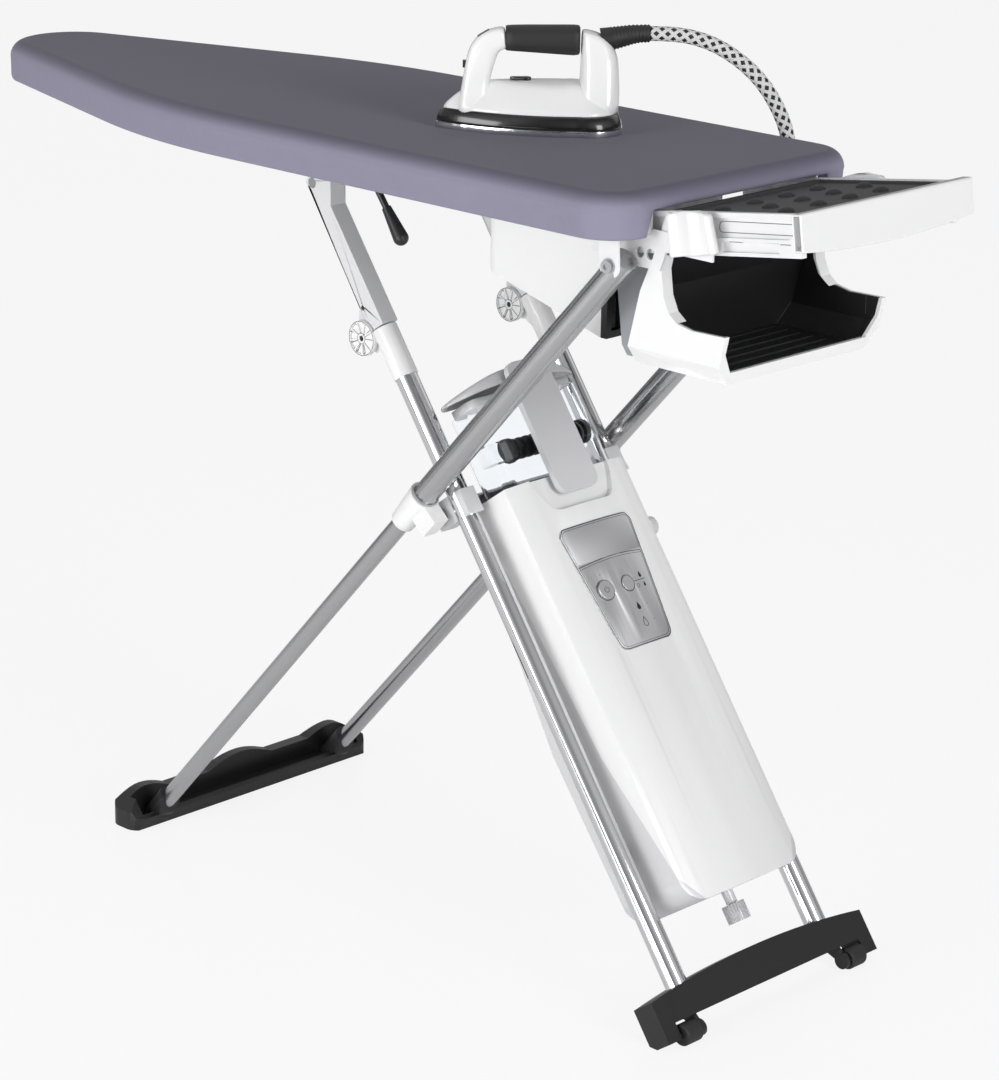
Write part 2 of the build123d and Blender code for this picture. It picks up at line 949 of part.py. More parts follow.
def tray_path():
    """The space that the tray slides in, between the bin's upper cheeks."""
    half = tray_rail_outer + slide_gap
    return tray * block(-160, tray_front_t, -half, half, -tray_height - 2, 40)


def bin_body(inset):
    solid = side_slab(bin_outline(), -bin_half, bin_half)
    return solid & front_slab(bin_section(inset), bin_floor_back - 60, bin_lip_x + 60)


def bin_mouth():
    """The low opening in the bin's front wall, between its cheeks."""
    side = bin_half - bin_front_side
    floor = bin_floor_half
    low = bin_floor_z + bin_front_rim
    outline = [
        (-floor, low), (floor, low), (side, low + bin_chamfer), (side, bin_top_z),
        (-side, bin_top_z), (-side, low + bin_chamfer),
    ]
    return front_slab(outline, bin_floor_front - bin_wall - liner_wall - 2, bin_lip_x + 20)


def cheek_edges():
    """The thick turned-in front edges of the bin's upper cheeks."""
    front_edge = bin_front_edge()[1:]
    rear_edge = [(x - bin_cheek_edge_wall, z + bin_cheek_edge_wall * 0.6) for x, z in front_edge]
    outline = front_edge + rear_edge[::-1]
    low, high = bin_half - bin_cheek_edge, bin_half - bin_wall + 0.5
    return [side_slab(outline, low, high), side_slab(outline, -high, -low)]


def compartment_shell():
    shell = bin_body(0) - bin_hollow(bin_wall)
    for edge in cheek_edges():
        shell += edge
    return shell - bin_mouth() - tray_path()


def compartment_liner():
    liner = bin_body(bin_wall) & bin_hollow(bin_wall)
    liner -= bin_hollow(bin_wall + liner_wall)
    for edge in cheek_edges():
        liner -= edge
    pitch = (bin_floor_front - bin_floor_back) / (liner_ribs + 1)
    floor = bin_floor_z + bin_wall + liner_wall
    half = bin_floor_half - 20
    for number in range(1, liner_ribs + 1):
        x = bin_floor_back + number * pitch
        liner += block(
            x - liner_rib_width / 2, x + liner_rib_width / 2,
            -half, half,
            floor - 0.5, floor + liner_rib_height,
        )
    return liner - bin_mouth() - tray_path()


def compartment_back():
    outline = [
        (back_top_x, back_top_z),
        (back_low_x, back_low_z),
        (back_toe_x, back_toe_z),
        (bin_floor_back + 1.4, bin_floor_z + 5),
        (bin_mid_back, bin_mid_z),
        (bin_shoulder_back - 1, back_top_z),
    ]
    inner = [
        (back_top_x + back_wall, back_top_z + 30),
        (back_top_x + back_wall, back_top_z),
        (back_low_x + back_wall, back_low_z + 1),
        (back_toe_x + back_wall, back_toe_z + back_wall + 1),
        (bin_floor_back + 10, bin_floor_z + 8 + back_wall),
        (bin_mid_back + 10, bin_mid_z),
        (bin_shoulder_back + 10, back_top_z + 30),
    ]
    shell = side_slab(outline, -back_half, back_half)
    shell -= side_slab(inner, -back_half + back_wall, back_half - back_wall)
    return shell - bin_body(0) - tray_path()


# Blower


def blower_housing():
    outline = [
        (blower_back_x, blower_back_z),
        (blower_front_x, blower_front_z),
        (blower_front_x, deck_under),
        (blower_back_x, deck_under),
    ]
    plan = rounded_upright(
        blower_back_x, blower_front_x + 60, -blower_half, blower_half,
        blower_front_z - 5, deck_under, blower_corner,
    )
    inner_plan = rounded_upright(
        blower_back_x + blower_wall, blower_front_x + 60,
        -blower_half + blower_wall, blower_half - blower_wall,
        blower_front_z - 5, deck_under + 1, blower_corner - blower_wall,
    )
    shell = side_slab(outline, -blower_half, blower_half) & plan
    raised = [(x, z + blower_wall) for x, z in outline[:2]]
    raised += [(blower_front_x + 30, deck_under + 10), (blower_back_x, deck_under + 10)]
    raised.insert(2, (blower_front_x + 30, blower_front_z + blower_wall))
    hollow = side_slab(raised, -blower_half, blower_half) & inner_plan
    shell -= hollow
    wall_x = fan_x - motor_length - 4
    bulkhead = block(wall_x - blower_wall, wall_x, -blower_half, blower_half, blower_front_z, fan_z + 60)
    shell += bulkhead & hollow
    top = block(
        blower_front_x - blower_wall, blower_front_x,
        -blower_half, blower_half, grille_top_z, deck_under,
    )
    return shell + top


def air_grille():
    low = blower_front_z
    plate = block(
        blower_front_x, blower_front_x + grille_thick,
        -blower_half, blower_half, low, grille_top_z,
    )
    span = 2 * (blower_half - grille_frame)
    pitch = (span + grille_bar) / grille_slots
    for number in range(grille_slots):
        y = -blower_half + grille_frame + number * pitch
        plate -= block(
            blower_front_x - 1, blower_front_x + grille_thick + 1,
            y, y + pitch - grille_bar, low + grille_frame, grille_top_z - grille_frame,
        )
    return plate


def fan_motor():
    wall_x = fan_x - motor_length - 4
    motor = lengthwise(motor_radius, wall_x, wall_x + motor_length, 0, fan_z)
    return motor + lengthwise(motor_shaft_radius, wall_x, fan_x + fan_depth, 0, fan_z)


def fan_rotor():
    bore = motor_shaft_radius + running_fit
    rotor = lengthwise(fan_radius, fan_x, fan_x + fan_plate, 0, fan_z)
    rotor += lengthwise(fan_hub_radius, fan_x, fan_x + fan_depth, 0, fan_z)
    for number in range(fan_blades):
        blade = block(
            fan_x, fan_x + fan_depth - 4,
            -fan_blade_thick / 2, fan_blade_thick / 2,
            fan_hub_radius - 2, fan_radius - 1,
        )
        turned = Rot(360 / fan_blades * number, 0, 0) * blade
        rotor += Pos(0, 0, fan_z) * turned
    return rotor - lengthwise(bore, fan_x - 1, fan_x + fan_depth + 1, 0, fan_z)


# Tray


def tray_frame():
    low = -tray_height
    back = -tray_rail_back
    end = tray_front_t - tray_bar_thick
    slot_mid = -(tray_slot_top + tray_slot_low) / 2
    slot_radius = (tray_slot_low - tray_slot_top) / 2
    deep = tray_rail_outer - tray_slot_deep
    rail = block(back, end, tray_rail_inner, tray_rail_outer, low, 0)
    slot_end = end - 8 - slot_radius
    rail -= block(back - 1, slot_end, deep, tray_rail_outer + 1, -tray_slot_low, -tray_slot_top)
    rail -= crosswise(slot_radius, deep, tray_rail_outer + 1, slot_end, slot_mid)
    rail -= block(
        roller_front_t + 40, end - 30,
        deep, tray_rail_outer + 1,
        low + 4, -tray_slot_low - 4,
    )
    frame = Part() + on_both_sides(rail)
    top = -tray_floor_top
    half = tray_rail_inner + 1
    frame += block(-tray_floor_back, end, -half, half, top - tray_floor_thick, top)
    frame += block(end - tray_floor_thick, end, -half, half, low + 6, top)
    frame += block(-tray_floor_back, -tray_floor_back + tray_floor_thick, -half, half, low + 12, top)
    return tray * frame


def tray_front_bar():
    """A bowed hollow bar across the front of the tray."""
    start = tray_front_t - tray_bar_thick
    high = tray_bar_rise
    low = high - tray_bar_height
    outline = Curve() + [
        Line((-tray_bar_half, low), (-tray_bar_half, high)),
        Line((-tray_bar_half, high), (tray_bar_half, high)),
        Line((tray_bar_half, high), (tray_bar_half, low)),
        ThreePointArc((tray_bar_half, low), (0, low - tray_bar_bow), (-tray_bar_half, low)),
    ]
    plane = Plane(origin=(start, 0, 0), x_dir=(0, 1, 0), z_dir=(1, 0, 0))
    bar = extrude(plane * make_face(outline), tray_bar_thick)
    side = tray_bar_half - 26
    for y_low, y_high in ((side + 6, tray_bar_half + 1), (-tray_bar_half - 1, -side - 6)):
        bar -= block(
            start + tray_bar_wall, tray_front_t - tray_bar_wall,
            y_low, y_high, low + tray_bar_wall, high - tray_bar_wall,
        )
    edges = bar.edges().filter_by(Axis.Y).sort_by(Axis.X)[-1:]
    return tray * fillet(edges, 3)


def tray_mat():
    """A rubber mat with a raised rim and round bumps that the hot iron stands on."""
    half = tray_rail_inner - soft_gap
    back = -tray_floor_back + tray_floor_thick + soft_gap
    end = tray_front_t - tray_bar_thick - soft_gap
    low = -tray_floor_top + soft_gap
    mat = block(back, end, -half, half, low, low + mat_thick)
    rim = block(back, end, -half, half, low, low + mat_rim_height)
    rim -= block(back + mat_rim, end - mat_rim, -half + mat_rim, half - mat_rim, low - 1, low + 30)
    mat += rim
    for row in range(mat_bump_rows):
        t = back + (end - back) * (row + 1) / (mat_bump_rows + 1)
        shift = 0.25 if row % 2 else -0.25
        for column in range(mat_bump_columns):
            y = (column + 0.5 + shift - mat_bump_columns / 2) * 2 * (half - 18) / mat_bump_columns
            top = low + mat_thick + mat_bump_height
            bump = upright(mat_bump_radius, low + mat_thick - 1, top, t, y)
            mat += bump
    return tray * mat


# Height lever and clamp


def lever_height():
    return arm_pivot_z + eye_radius + lever_shaft_above_strip


def lever_shaft():
    z = lever_height()
    shaft = crosswise(lever_shaft_radius, lever_y - lever_shaft_radius, lever_shaft_inner, clamp_x, z)
    shaft += crosswise(cam_radius, -cam_width / 2, cam_width / 2, clamp_x, z - cam_offset)
    points = [
        (clamp_x, lever_y, z),
        (clamp_x + lever_knee_dx, lever_y, z - lever_knee_dz),
        (clamp_x + lever_tip_dx, lever_y, z - lever_tip_dz),
    ]
    path = FilletPolyline(*points, radius=lever_rod_bend)
    way = Vector(*points[1]) - Vector(*points[0])
    return shaft + sweep(Plane(origin=points[0], z_dir=way) * Circle(lever_rod_radius), path=path)


def lever_grip():
    z = lever_height()
    knee = Vector(clamp_x + lever_knee_dx, lever_y, z - lever_knee_dz)
    tip = Vector(clamp_x + lever_tip_dx, lever_y, z - lever_tip_dz)
    root = tip - (tip - knee).normalized() * lever_socket
    spot = Plane(origin=root, z_dir=tip - knee).location
    grip = Pos(0, 0, lever_grip_length / 2) * Cone(lever_grip_small, lever_grip_large, lever_grip_length)
    grip += Pos(0, 0, lever_grip_length) * Sphere(lever_grip_large)
    grip -= upright(lever_rod_radius + running_fit, -1, lever_socket + 0.2)
    return spot * grip


def clamp_block():
    """The clamp under the deck, and the outer bearing of the lever shaft."""
    z = lever_height()
    strip_top = arm_pivot_z + eye_radius
    low = strip_top - strip_thick - clamp_floor
    half = clamp_length / 2
    body = block(clamp_x - half, clamp_x + half, -clamp_width / 2, clamp_width / 2, low, deck_under)
    body -= block(
        clamp_x - half - 1, clamp_x + half + 1,
        -strip_width / 2 - slide_gap, strip_width / 2 + slide_gap,
        strip_top - strip_thick - slide_gap, strip_top + slide_gap,
    )
    reach = cam_radius + cam_offset + moving_gap
    body -= crosswise(reach, -cam_width / 2 - 1, cam_width / 2 + 1, clamp_x, z)
    body -= crosswise(lever_shaft_radius + running_fit, -clamp_width, clamp_width, clamp_x, z)
    ear_low = lever_ear_y - lever_ear_width / 2
    ear_high = lever_ear_y + lever_ear_width / 2
    ear = block(clamp_x - 10, clamp_x + 10, ear_low, ear_high, z - 10, deck_under)
    ear -= crosswise(lever_shaft_radius + running_fit, ear_low - 1, ear_high + 1, clamp_x, z)
    return [body, ear]


# Carriage and arms


def carriage_runner():
    """A block that slides in the channel, with a neck down to the cross shaft, at +Y."""
    inside = rail_width / 2 - rail_sheet - slide_gap
    low = rail_bottom + rail_sheet + slide_gap
    x_low = arm_pivot_x - runner_length / 2
    x_high = arm_pivot_x + runner_length / 2
    runner = block(x_low, x_high, rail_y - inside, rail_y + inside, low, low + runner_height)
    neck = runner_neck / 2
    runner += block(
        arm_pivot_x - runner_boss, arm_pivot_x + runner_boss,
        rail_y - neck, rail_y + neck, arm_pivot_z, low + 1,
    )
    runner += crosswise(runner_boss, rail_y - neck, rail_y + neck, arm_pivot_x, arm_pivot_z)
    bore = carriage_shaft_radius + running_fit
    return runner - crosswise(bore, rail_y - 20, rail_y + 20, arm_pivot_x, arm_pivot_z)


def carriage_bar():
    """The cross shaft with the flat strip that runs back through the clamp."""
    reach = rear_tube_y + arm_width / 2
    bar = crosswise(carriage_shaft_radius, -reach, reach, arm_pivot_x, arm_pivot_z)
    bar += crosswise(eye_radius, -strip_width / 2, strip_width / 2, arm_pivot_x, arm_pivot_z)
    strip_top = arm_pivot_z + eye_radius
    bar += block(
        arm_pivot_x, arm_pivot_x + strip_reach,
        -strip_width / 2, strip_width / 2, strip_top - strip_thick, strip_top,
    )
    return bar


def arm():
    """The white arm from the knee up to the carriage, at +Y."""
    half = arm_depth / 2
    y_low = rear_tube_y - arm_width / 2
    y_high = rear_tube_y + arm_width / 2
    bend = arm_along - arm_top_front / rear_dir[1]
    front_edge = rear_point(half, bend)
    rear_edge = rear_point(-half, arm_along)
    outline = [
        rear_point(-half, knee_along),
        rear_point(half, knee_along),
        front_edge,
        (front_edge[0], arm_pivot_z + arm_top_rise - 4),
        (arm_pivot_x, arm_pivot_z + arm_top_rise),
        (rear_edge[0] + 6, arm_pivot_z + arm_top_rise),
        (rear_edge[0], arm_pivot_z),
    ]
    body = side_slab(outline, y_low, y_high)
    knee = rear_point(-knee_offset, knee_along)
    gusset = [
        rear_point(-half + 1, knee_along),
        rear_point(-half + 1, knee_along + arm_gusset),
        rear_point(-knee_offset - 6, knee_along + knee_ear_radius - 1.5),
        rear_point(-knee_offset, knee_along),
    ]
    ear_out = knee_ear_half + soft_gap + arm_ear_thick
    gap = knee_ear_half + soft_gap
    ear = side_slab(gusset, rear_tube_y - ear_out, rear_tube_y + ear_out)
    ear += crosswise(knee_ear_radius, rear_tube_y - ear_out, rear_tube_y + ear_out, *knee)
    clear = knee_disc_radius + moving_gap
    outside = crosswise(clear, y_low - 1, rear_tube_y - ear_out, *knee)
    outside += crosswise(clear, rear_tube_y + ear_out, y_high + 1, *knee)
    body = body + ear - outside
    slot = crosswise(knee_slot_radius, rear_tube_y - gap, rear_tube_y + gap, *knee)
    body -= slot
    body -= crosswise(knee_pin_radius + running_fit, y_low, y_high, *knee)
    bore = carriage_shaft_radius + running_fit
    body -= crosswise(bore, y_low - 1, y_high + 1, arm_pivot_x, arm_pivot_z)
    screw = rear_point(-half + 5, knee_along + 30)
    return body - crosswise(arm_screw_radius, y_low - 1, y_high + 1, *screw)


# Rear legs


def rear_leg_tube():
    tube = upright(rear_tube_radius, rear_tube_end, rear_tube_top, 0, rear_tube_y)
    inner = rear_tube_radius - rear_tube_wall
    return rear * (tube - upright(inner, rear_tube_end - 1, rear_tube_top + 1, 0, rear_tube_y))


def knee_disc(y_low, y_high):
    """A spoked disc on the side of the knee, about the pin, its face at the outer end."""
    outward = y_high > y_low
    low, high = min(y_low, y_high), max(y_low, y_high)
    disc = crosswise(knee_disc_radius, low, high, 0, 0)
    face_low = low + knee_disc_web if outward else low
    face_high = high if outward else high - knee_disc_web
    cells = crosswise(knee_disc_radius - knee_rim, face_low, face_high, 0, 0)
    cells -= crosswise(knee_hub_radius, face_low, face_high, 0, 0)
    for number in range(knee_spokes):
        spoke = block(0, knee_disc_radius, face_low, face_high, -knee_spoke_width / 2, knee_spoke_width / 2)
        cells -= Rot(0, 360 / knee_spokes * number, 0) * spoke
    return disc - cells


def knuckle():
    """The white sleeve on the rear tube with the knee's middle ear and side discs, at +Y."""
    top = knee_along - arm_end_gap
    body = upright(knuckle_radius, rear_tube_top, top, 0, rear_tube_y)
    plug = rear_tube_radius - rear_tube_wall - running_fit
    body += upright(plug, rear_tube_top - knuckle_plug, rear_tube_top, 0, rear_tube_y)
    y_low = rear_tube_y - knee_ear_half
    y_high = rear_tube_y + knee_ear_half
    ear = crosswise(knee_ear_radius, y_low, y_high, -knee_offset, knee_along)
    web = [
        (-knee_offset, knee_along - knee_ear_radius),
        (-knuckle_radius + 3, knee_along - 45),
        (0, knee_along - 45),
        (0, top),
        (-knee_offset, knee_along),
    ]
    ear += side_slab(web, y_low, y_high)
    ear_out = knee_ear_half + 2 * soft_gap + arm_ear_thick
    spot = Pos(-knee_offset, 0, knee_along)
    discs = spot * knee_disc(rear_tube_y + ear_out, rear_tube_y + ear_out + knee_disc_thick)
    discs += spot * knee_disc(rear_tube_y - ear_out, rear_tube_y - ear_out - knee_disc_thick)
    below = block(-knee_offset, 0, rear_tube_y - knuckle_radius, rear_tube_y + knuckle_radius,
                  knee_along - knee_disc_radius, top)
    below &= crosswise(knee_disc_radius, rear_tube_y - knuckle_radius, rear_tube_y + knuckle_radius,
                       -knee_offset, knee_along)
    below -= block(-knee_offset - 60, 60, rear_tube_y - ear_out, rear_tube_y + ear_out,
                   knee_along - 60, knee_along + 60)
    body = body + ear + discs + below
    body -= crosswise(knee_ear_radius + moving_gap, y_high, rear_tube_y + ear_out, -knee_offset, knee_along)
    body -= crosswise(knee_ear_radius + moving_gap, rear_tube_y - ear_out, y_low, -knee_offset, knee_along)
    bore = knee_pin_radius + running_fit
    reach = ear_out + knee_disc_thick
    low, high = rear_tube_y - reach, rear_tube_y + reach
    body -= crosswise(bore, low - 1, high + 1, -knee_offset, knee_along)
    pin = crosswise(knee_pin_radius, low, high, -knee_offset, knee_along)
    pin -= crosswise(knee_screw_radius, low - 1, low + 1, -knee_offset, knee_along)
    pin -= crosswise(knee_screw_radius, high - 1, high + 1, -knee_offset, knee_along)
    return [rear * body, rear * pin]


def pivot_collar():
    """The clamp around the rear tube that the pivot shaft turns in, at +Y."""
    y_low = rear_tube_y - collar_width / 2
    y_high = rear_tube_y + collar_width / 2
    low = rear_pivot_along - collar_height / 2
    high = rear_pivot_along + collar_height / 2
    back = -rear_offset - journal_radius - collar_wall
    ahead = rear_tube_radius + collar_wall / 2
    collar = block(back, ahead, y_low, y_high, low, high)
    collar -= upright(rear_tube_radius + running_fit, low - 1, high + 1, 0, rear_tube_y)
    bore = journal_radius + running_fit
    collar -= crosswise(bore, y_low - 1, y_high + 1, -rear_offset, rear_pivot_along)
    return rear * collar


def castor_place():
    """X and Z of the castor's axle."""
    return (rear_base[0] + castor_x_from_axis, castor_radius + castor_lift)


def rear_foot():
    front_half = rear_foot_depth / 2
    outline = Curve() + [
        ThreePointArc(
            (-rear_foot_half, rear_foot_top_end),
            (0, rear_foot_top_mid),
            (rear_foot_half, rear_foot_top_end),
        ),
        Polyline(
            (rear_foot_half, rear_foot_top_end),
            (rear_foot_half, rear_foot_block_end),
            (rear_foot_block_in, rear_foot_block_end),
            (rear_foot_block_in, rear_foot_bottom),
            (-rear_foot_block_in, rear_foot_bottom),
            (-rear_foot_block_in, rear_foot_block_end),
            (-rear_foot_half, rear_foot_block_end),
            (-rear_foot_half, rear_foot_top_end),
        ),
    ]
    plane = Plane(origin=(-front_half, 0, 0), x_dir=(0, 1, 0), z_dir=(1, 0, 0))
    foot = rear * extrude(plane * make_face(outline), rear_foot_depth)
    axle_x, axle_z = castor_place()
    hinge = rear_point(0, rear_foot_bottom + 6)
    for sign in (-1, 1):
        near, far = sorted((sign * castor_lug_in, sign * castor_lug_out))
        strut = [
            (axle_x - castor_lug_radius, axle_z),
            (axle_x + castor_lug_radius, axle_z),
            (hinge[0] + 10, hinge[1] + 6),
            (hinge[0] - 10, hinge[1] - 4),
        ]
        foot += side_slab(strut, near, far)
        foot += crosswise(castor_lug_radius, near, far, axle_x, axle_z)
        socket = rear_tube_radius + running_fit
        foot -= rear * upright(socket, rear_tube_end, rear_foot_top_mid + 5, 0, sign * rear_tube_y)
        reach = sorted((sign * (castor_lug_in - 1), sign * (rear_foot_block_in + castor_axle_sink)))
        foot -= crosswise(castor_axle_radius + running_fit, *reach, axle_x, axle_z)
    half = rear_foot_half + 1
    foot -= block(rear_base[0] - 100, rear_base[0] + 200, -half, half, -300, 0)
    axles = []
    for sign in (-1, 1):
        reach = sorted((sign * castor_lug_in, sign * (rear_foot_block_in + castor_axle_sink)))
        axles.append(crosswise(castor_axle_radius, *reach, axle_x, axle_z))
    return [foot, *axles]


def castor(sign):
    axle_x, axle_z = castor_place()
    low, high = sorted((sign * castor_inner, sign * castor_outer))
    wheel = crosswise(castor_radius, low, high, axle_x, axle_z)
    rims = wheel.edges().filter_by(GeomType.CIRCLE)
    wheel = fillet(rims, 2.5)
    return wheel - crosswise(castor_axle_radius + running_fit, low - 1, high + 1, axle_x, axle_z)


# Boiler housing


def crown_radius():
    return (housing_half ** 2 + housing_crown ** 2) / (2 * housing_crown)


def crown_bar(grow):
    """The big round that gives the front of the housing its crown."""
    radius = crown_radius()
    centre = housing_front + housing_crown - radius
    bar = Rot(0, 0, 180) * upright(radius + grow, housing_bottom - 60, housing_top + 120)
    return Pos(centre, 0, 0) * bar


def housing_profile():
    return [
        (housing_front + housing_crown, housing_bottom),
        (housing_front + housing_crown, housing_top),
        (housing_top_rear, housing_top),
        (housing_shoulder_rear, housing_shoulder_at),
        (housing_belly_rear, housing_belly_at),
        (housing_tail_rear, housing_tail_at),
        (housing_tail_rear + 5, housing_bottom + 2),
    ]


def housing_solid(inset):
    """The housing drawn in by an inset and, when drawn in, carried on above its top."""
    face = polygon(housing_profile())
    if inset > 0:
        face = offset(face, -inset, kind=Kind.INTERSECTION)
    plane = Plane(origin=(0, housing_half - inset, 0), x_dir=(1, 0, 0), z_dir=(0, -1, 0))
    body = extrude(plane * face, 2 * (housing_half - inset))
    if inset > 0:
        body += block(
            housing_top_rear + inset, housing_front + housing_crown,
            -housing_half + inset, housing_half - inset,
            housing_top - inset - 10, housing_top + 60,
        )
    side = housing_half - inset
    low = housing_bottom + inset
    plan = block(-100, 100, -side, side, low, housing_top + 100)
    corners = plan.edges().filter_by(Axis.X).group_by(Axis.Z)[0]
    plan = fillet(corners, housing_corner - inset)
    return body & plan & crown_bar(-inset)


def parting_side():
    """The space in front of the line where the two shells meet."""
    outline = [
        (housing_top_rear, housing_top + 60),
        (housing_top_rear, housing_top),
        (parting_mid_off, parting_mid_at),
        (parting_low_off, housing_tail_at),
        (parting_low_off + 6, housing_bottom - 10),
        (120, housing_bottom - 10),
        (120, housing_top + 60),
    ]
    return side_slab(outline, -housing_half - 5, housing_half + 5)


def recess_prism(grow):
    """The scoop in the front shell that the tank's grip hangs in."""
    outline = [
        (-recess_top_half - grow, housing_top + 20),
        (-recess_top_half - grow, housing_top - 8),
        (-recess_low_half - grow, housing_top - recess_depth - grow),
        (recess_low_half + grow, housing_top - recess_depth - grow),
        (recess_top_half + grow, housing_top - 8),
        (recess_top_half + grow, housing_top + 20),
    ]
    return front_slab(outline, recess_back - grow, 90, recess_radius if grow == 0 else recess_radius / 2)


def panel_prism(grow, x_low=0.0, x_high=90.0):
    high = housing_top - panel_top_below + grow
    outline = [
        (-panel_top_half - grow, high),
        (-panel_low_half - grow, panel_low_at - grow),
        (panel_low_half + grow, panel_low_at - grow),
        (panel_top_half + grow, high),
    ]
    return front_slab(outline, x_low, x_high, panel_radius)


def panel_buttons():
    """Place and radius of each button on the panel."""
    return [(power_button_y, power_button_radius), (steam_button_y, steam_button_radius)]


def boiler_front_shell():
    outer = housing_solid(0)
    shell = (outer - housing_solid(housing_wall)) & parting_side()
    frame = outer & recess_prism(recess_frame)
    frame -= block(-200, 200, -200, 200, housing_top, housing_top + 200)
    shell += frame
    shell -= recess_prism(0)
    for y, radius in panel_buttons():
        shell -= lengthwise(radius + button_gap, board_off, 90, y, button_at)
    shell -= panel_prism(panel_gap) - crown_bar(panel_proud - panel_thick - panel_gap)
    for y in (-board_boss_y, board_boss_y):
        for along in (board_boss_low, board_boss_high):
            boss = lengthwise(board_boss_radius, board_off + board_sheet, 90, y, along)
            shell += boss & housing_solid(housing_wall - 0.5)
    bezel = crosswise(knob_bezel_radius, housing_half, housing_half + knob_bezel_thick, knob_off, knob_at)
    shell += bezel
    bore = knob_stem_radius + running_fit
    shell -= crosswise(bore, housing_half - 20, housing_half + 20, knob_off, knob_at)
    return rear * shell


def housing_lug(along):
    """A lug from the rear shell that cups the leg tube, at +Y."""
    y_low = housing_half - housing_wall
    lug = block(
        -lug_behind - lug_depth, -lug_behind, y_low, rear_tube_y - 4,
        along - lug_height / 2, along + lug_height / 2,
    )
    lug -= upright(rear_tube_radius + running_fit, along - 50, along + 50, 0, rear_tube_y)
    return lug


def boiler_rear_shell():
    outer = housing_solid(0)
    shell = (outer - housing_solid(housing_wall)) - parting_side()
    seat = block(
        housing_belly_rear, tank_front - 1, -housing_half, housing_half, seat_at, seat_at + seat_thick
    )
    seat &= housing_solid(housing_wall + panel_gap)
    root = block(
        housing_belly_rear, housing_top_rear, -housing_half, housing_half, seat_at, seat_at + seat_thick
    )
    shell += seat + (root & housing_solid(0))
    shell -= upright(spout_radius + moving_gap, seat_at - 1, seat_at + seat_thick + 1, tank_rear + 26, 0)
    for lug in on_both_sides(housing_lug(lug_low_at)) + on_both_sides(housing_lug(lug_high_at)):
        shell += lug
    neck_low = housing_bottom - drain_neck_length
    shell += upright(drain_neck_radius, neck_low, housing_bottom + 4, drain_off, 0)
    shell -= upright(drain_bore_radius, neck_low - 1, housing_bottom + 10, drain_off, 0)
    shell -= inlet_space(panel_gap)
    return rear * shell


def inlet_space(grow):
    """The place of the mains inlet in the lower back of the housing."""
    return block(
        housing_belly_rear - 6, housing_belly_rear + inlet_depth + grow,
        inlet_y - inlet_width / 2 - grow, inlet_y + inlet_width / 2 + grow,
        inlet_at - inlet_height / 2 - grow, inlet_at + inlet_height / 2 + grow,
    )


def mains_inlet():
    """A recessed three-pin appliance inlet with a flange inside the shell."""
    body = inlet_space(0) & housing_solid(0)
    inner = housing_belly_rear + inlet_depth
    flange = block(
        inner - 8, inner, inlet_y - inlet_width / 2 - 6, inlet_y + inlet_width / 2 + 6,
        inlet_at - inlet_height / 2 - 6, inlet_at + inlet_height / 2 + 6,
    )
    body += flange
    wall = inlet_socket_wall
    body -= block(
        housing_belly_rear - 6, housing_belly_rear + inlet_socket_depth,
        inlet_y - inlet_width / 2 + wall, inlet_y + inlet_width / 2 - wall,
        inlet_at - inlet_height / 2 + wall, inlet_at + inlet_height / 2 - wall,
    )
    for y in (-7, 0, 7):
        body += block(
            housing_belly_rear + 6, housing_belly_rear + inlet_socket_depth + 1,
            inlet_y + y - 1, inlet_y + y + 1, inlet_at - 2, inlet_at + 2,
        )
    return rear * body


def control_panel():
    panel = panel_prism(0) & crown_bar(panel_proud)
    panel -= crown_bar(panel_proud - panel_thick)
    split = panel_prism(2) - crown_bar(panel_proud - panel_split_depth)
    split &= block(0, 90, -90, 90, panel_split_at, panel_split_at + panel_split_width)
    panel -= split
    for y, radius in panel_buttons():
        panel -= lengthwise(radius + button_gap, 0, 90, y, button_at)
    return rear * panel


def panel_button(y, radius):
    """A round push button, its cap flush with the panel and its stem towards the board."""
    face = housing_front + housing_crown + panel_proud + button_proud
    back = board_off + board_sheet + button_travel + 0.5
    button = lengthwise(radius, face - button_stem, face, y, button_at)
    rim = button.edges().filter_by(GeomType.CIRCLE).sort_by(Axis.X)[-1]
    button = fillet(rim, 0.5)
    return rear * (button + lengthwise(2.5, back, face - 1, y, button_at))


def ridged_bar(radius, length, ridges):
    """A round bar along Z with grip ridges cut down its side."""
    bar = upright(radius, 0, length)
    for number in range(ridges):
        groove = upright(ridge_depth, -1, length + 1, radius, 0)
        bar -= Rot(0, 0, 360 / ridges * number) * groove
    return bar


def side_knob():
    start = housing_half + knob_bezel_thick + slide_gap
    knob = ridged_bar(knob_radius, knob_thick, knob_ridges)
    knob += upright(knob_stem_radius, -knob_bezel_thick - slide_gap - knob_stem_inside, 1)
    return rear * (Pos(knob_off, start, knob_at) * Rot(-90, 0, 0) * knob)


def drain_cap():
    high = housing_bottom - drain_neck_length - slide_gap
    cap = Pos(drain_off, 0, high - drain_cap_length) * ridged_bar(
        drain_cap_radius, drain_cap_length, drain_ridges
    )
    plug = drain_bore_radius - 2 * running_fit
    return rear * (cap + upright(plug, high - 1, high + drain_plug_length, drain_off, 0))


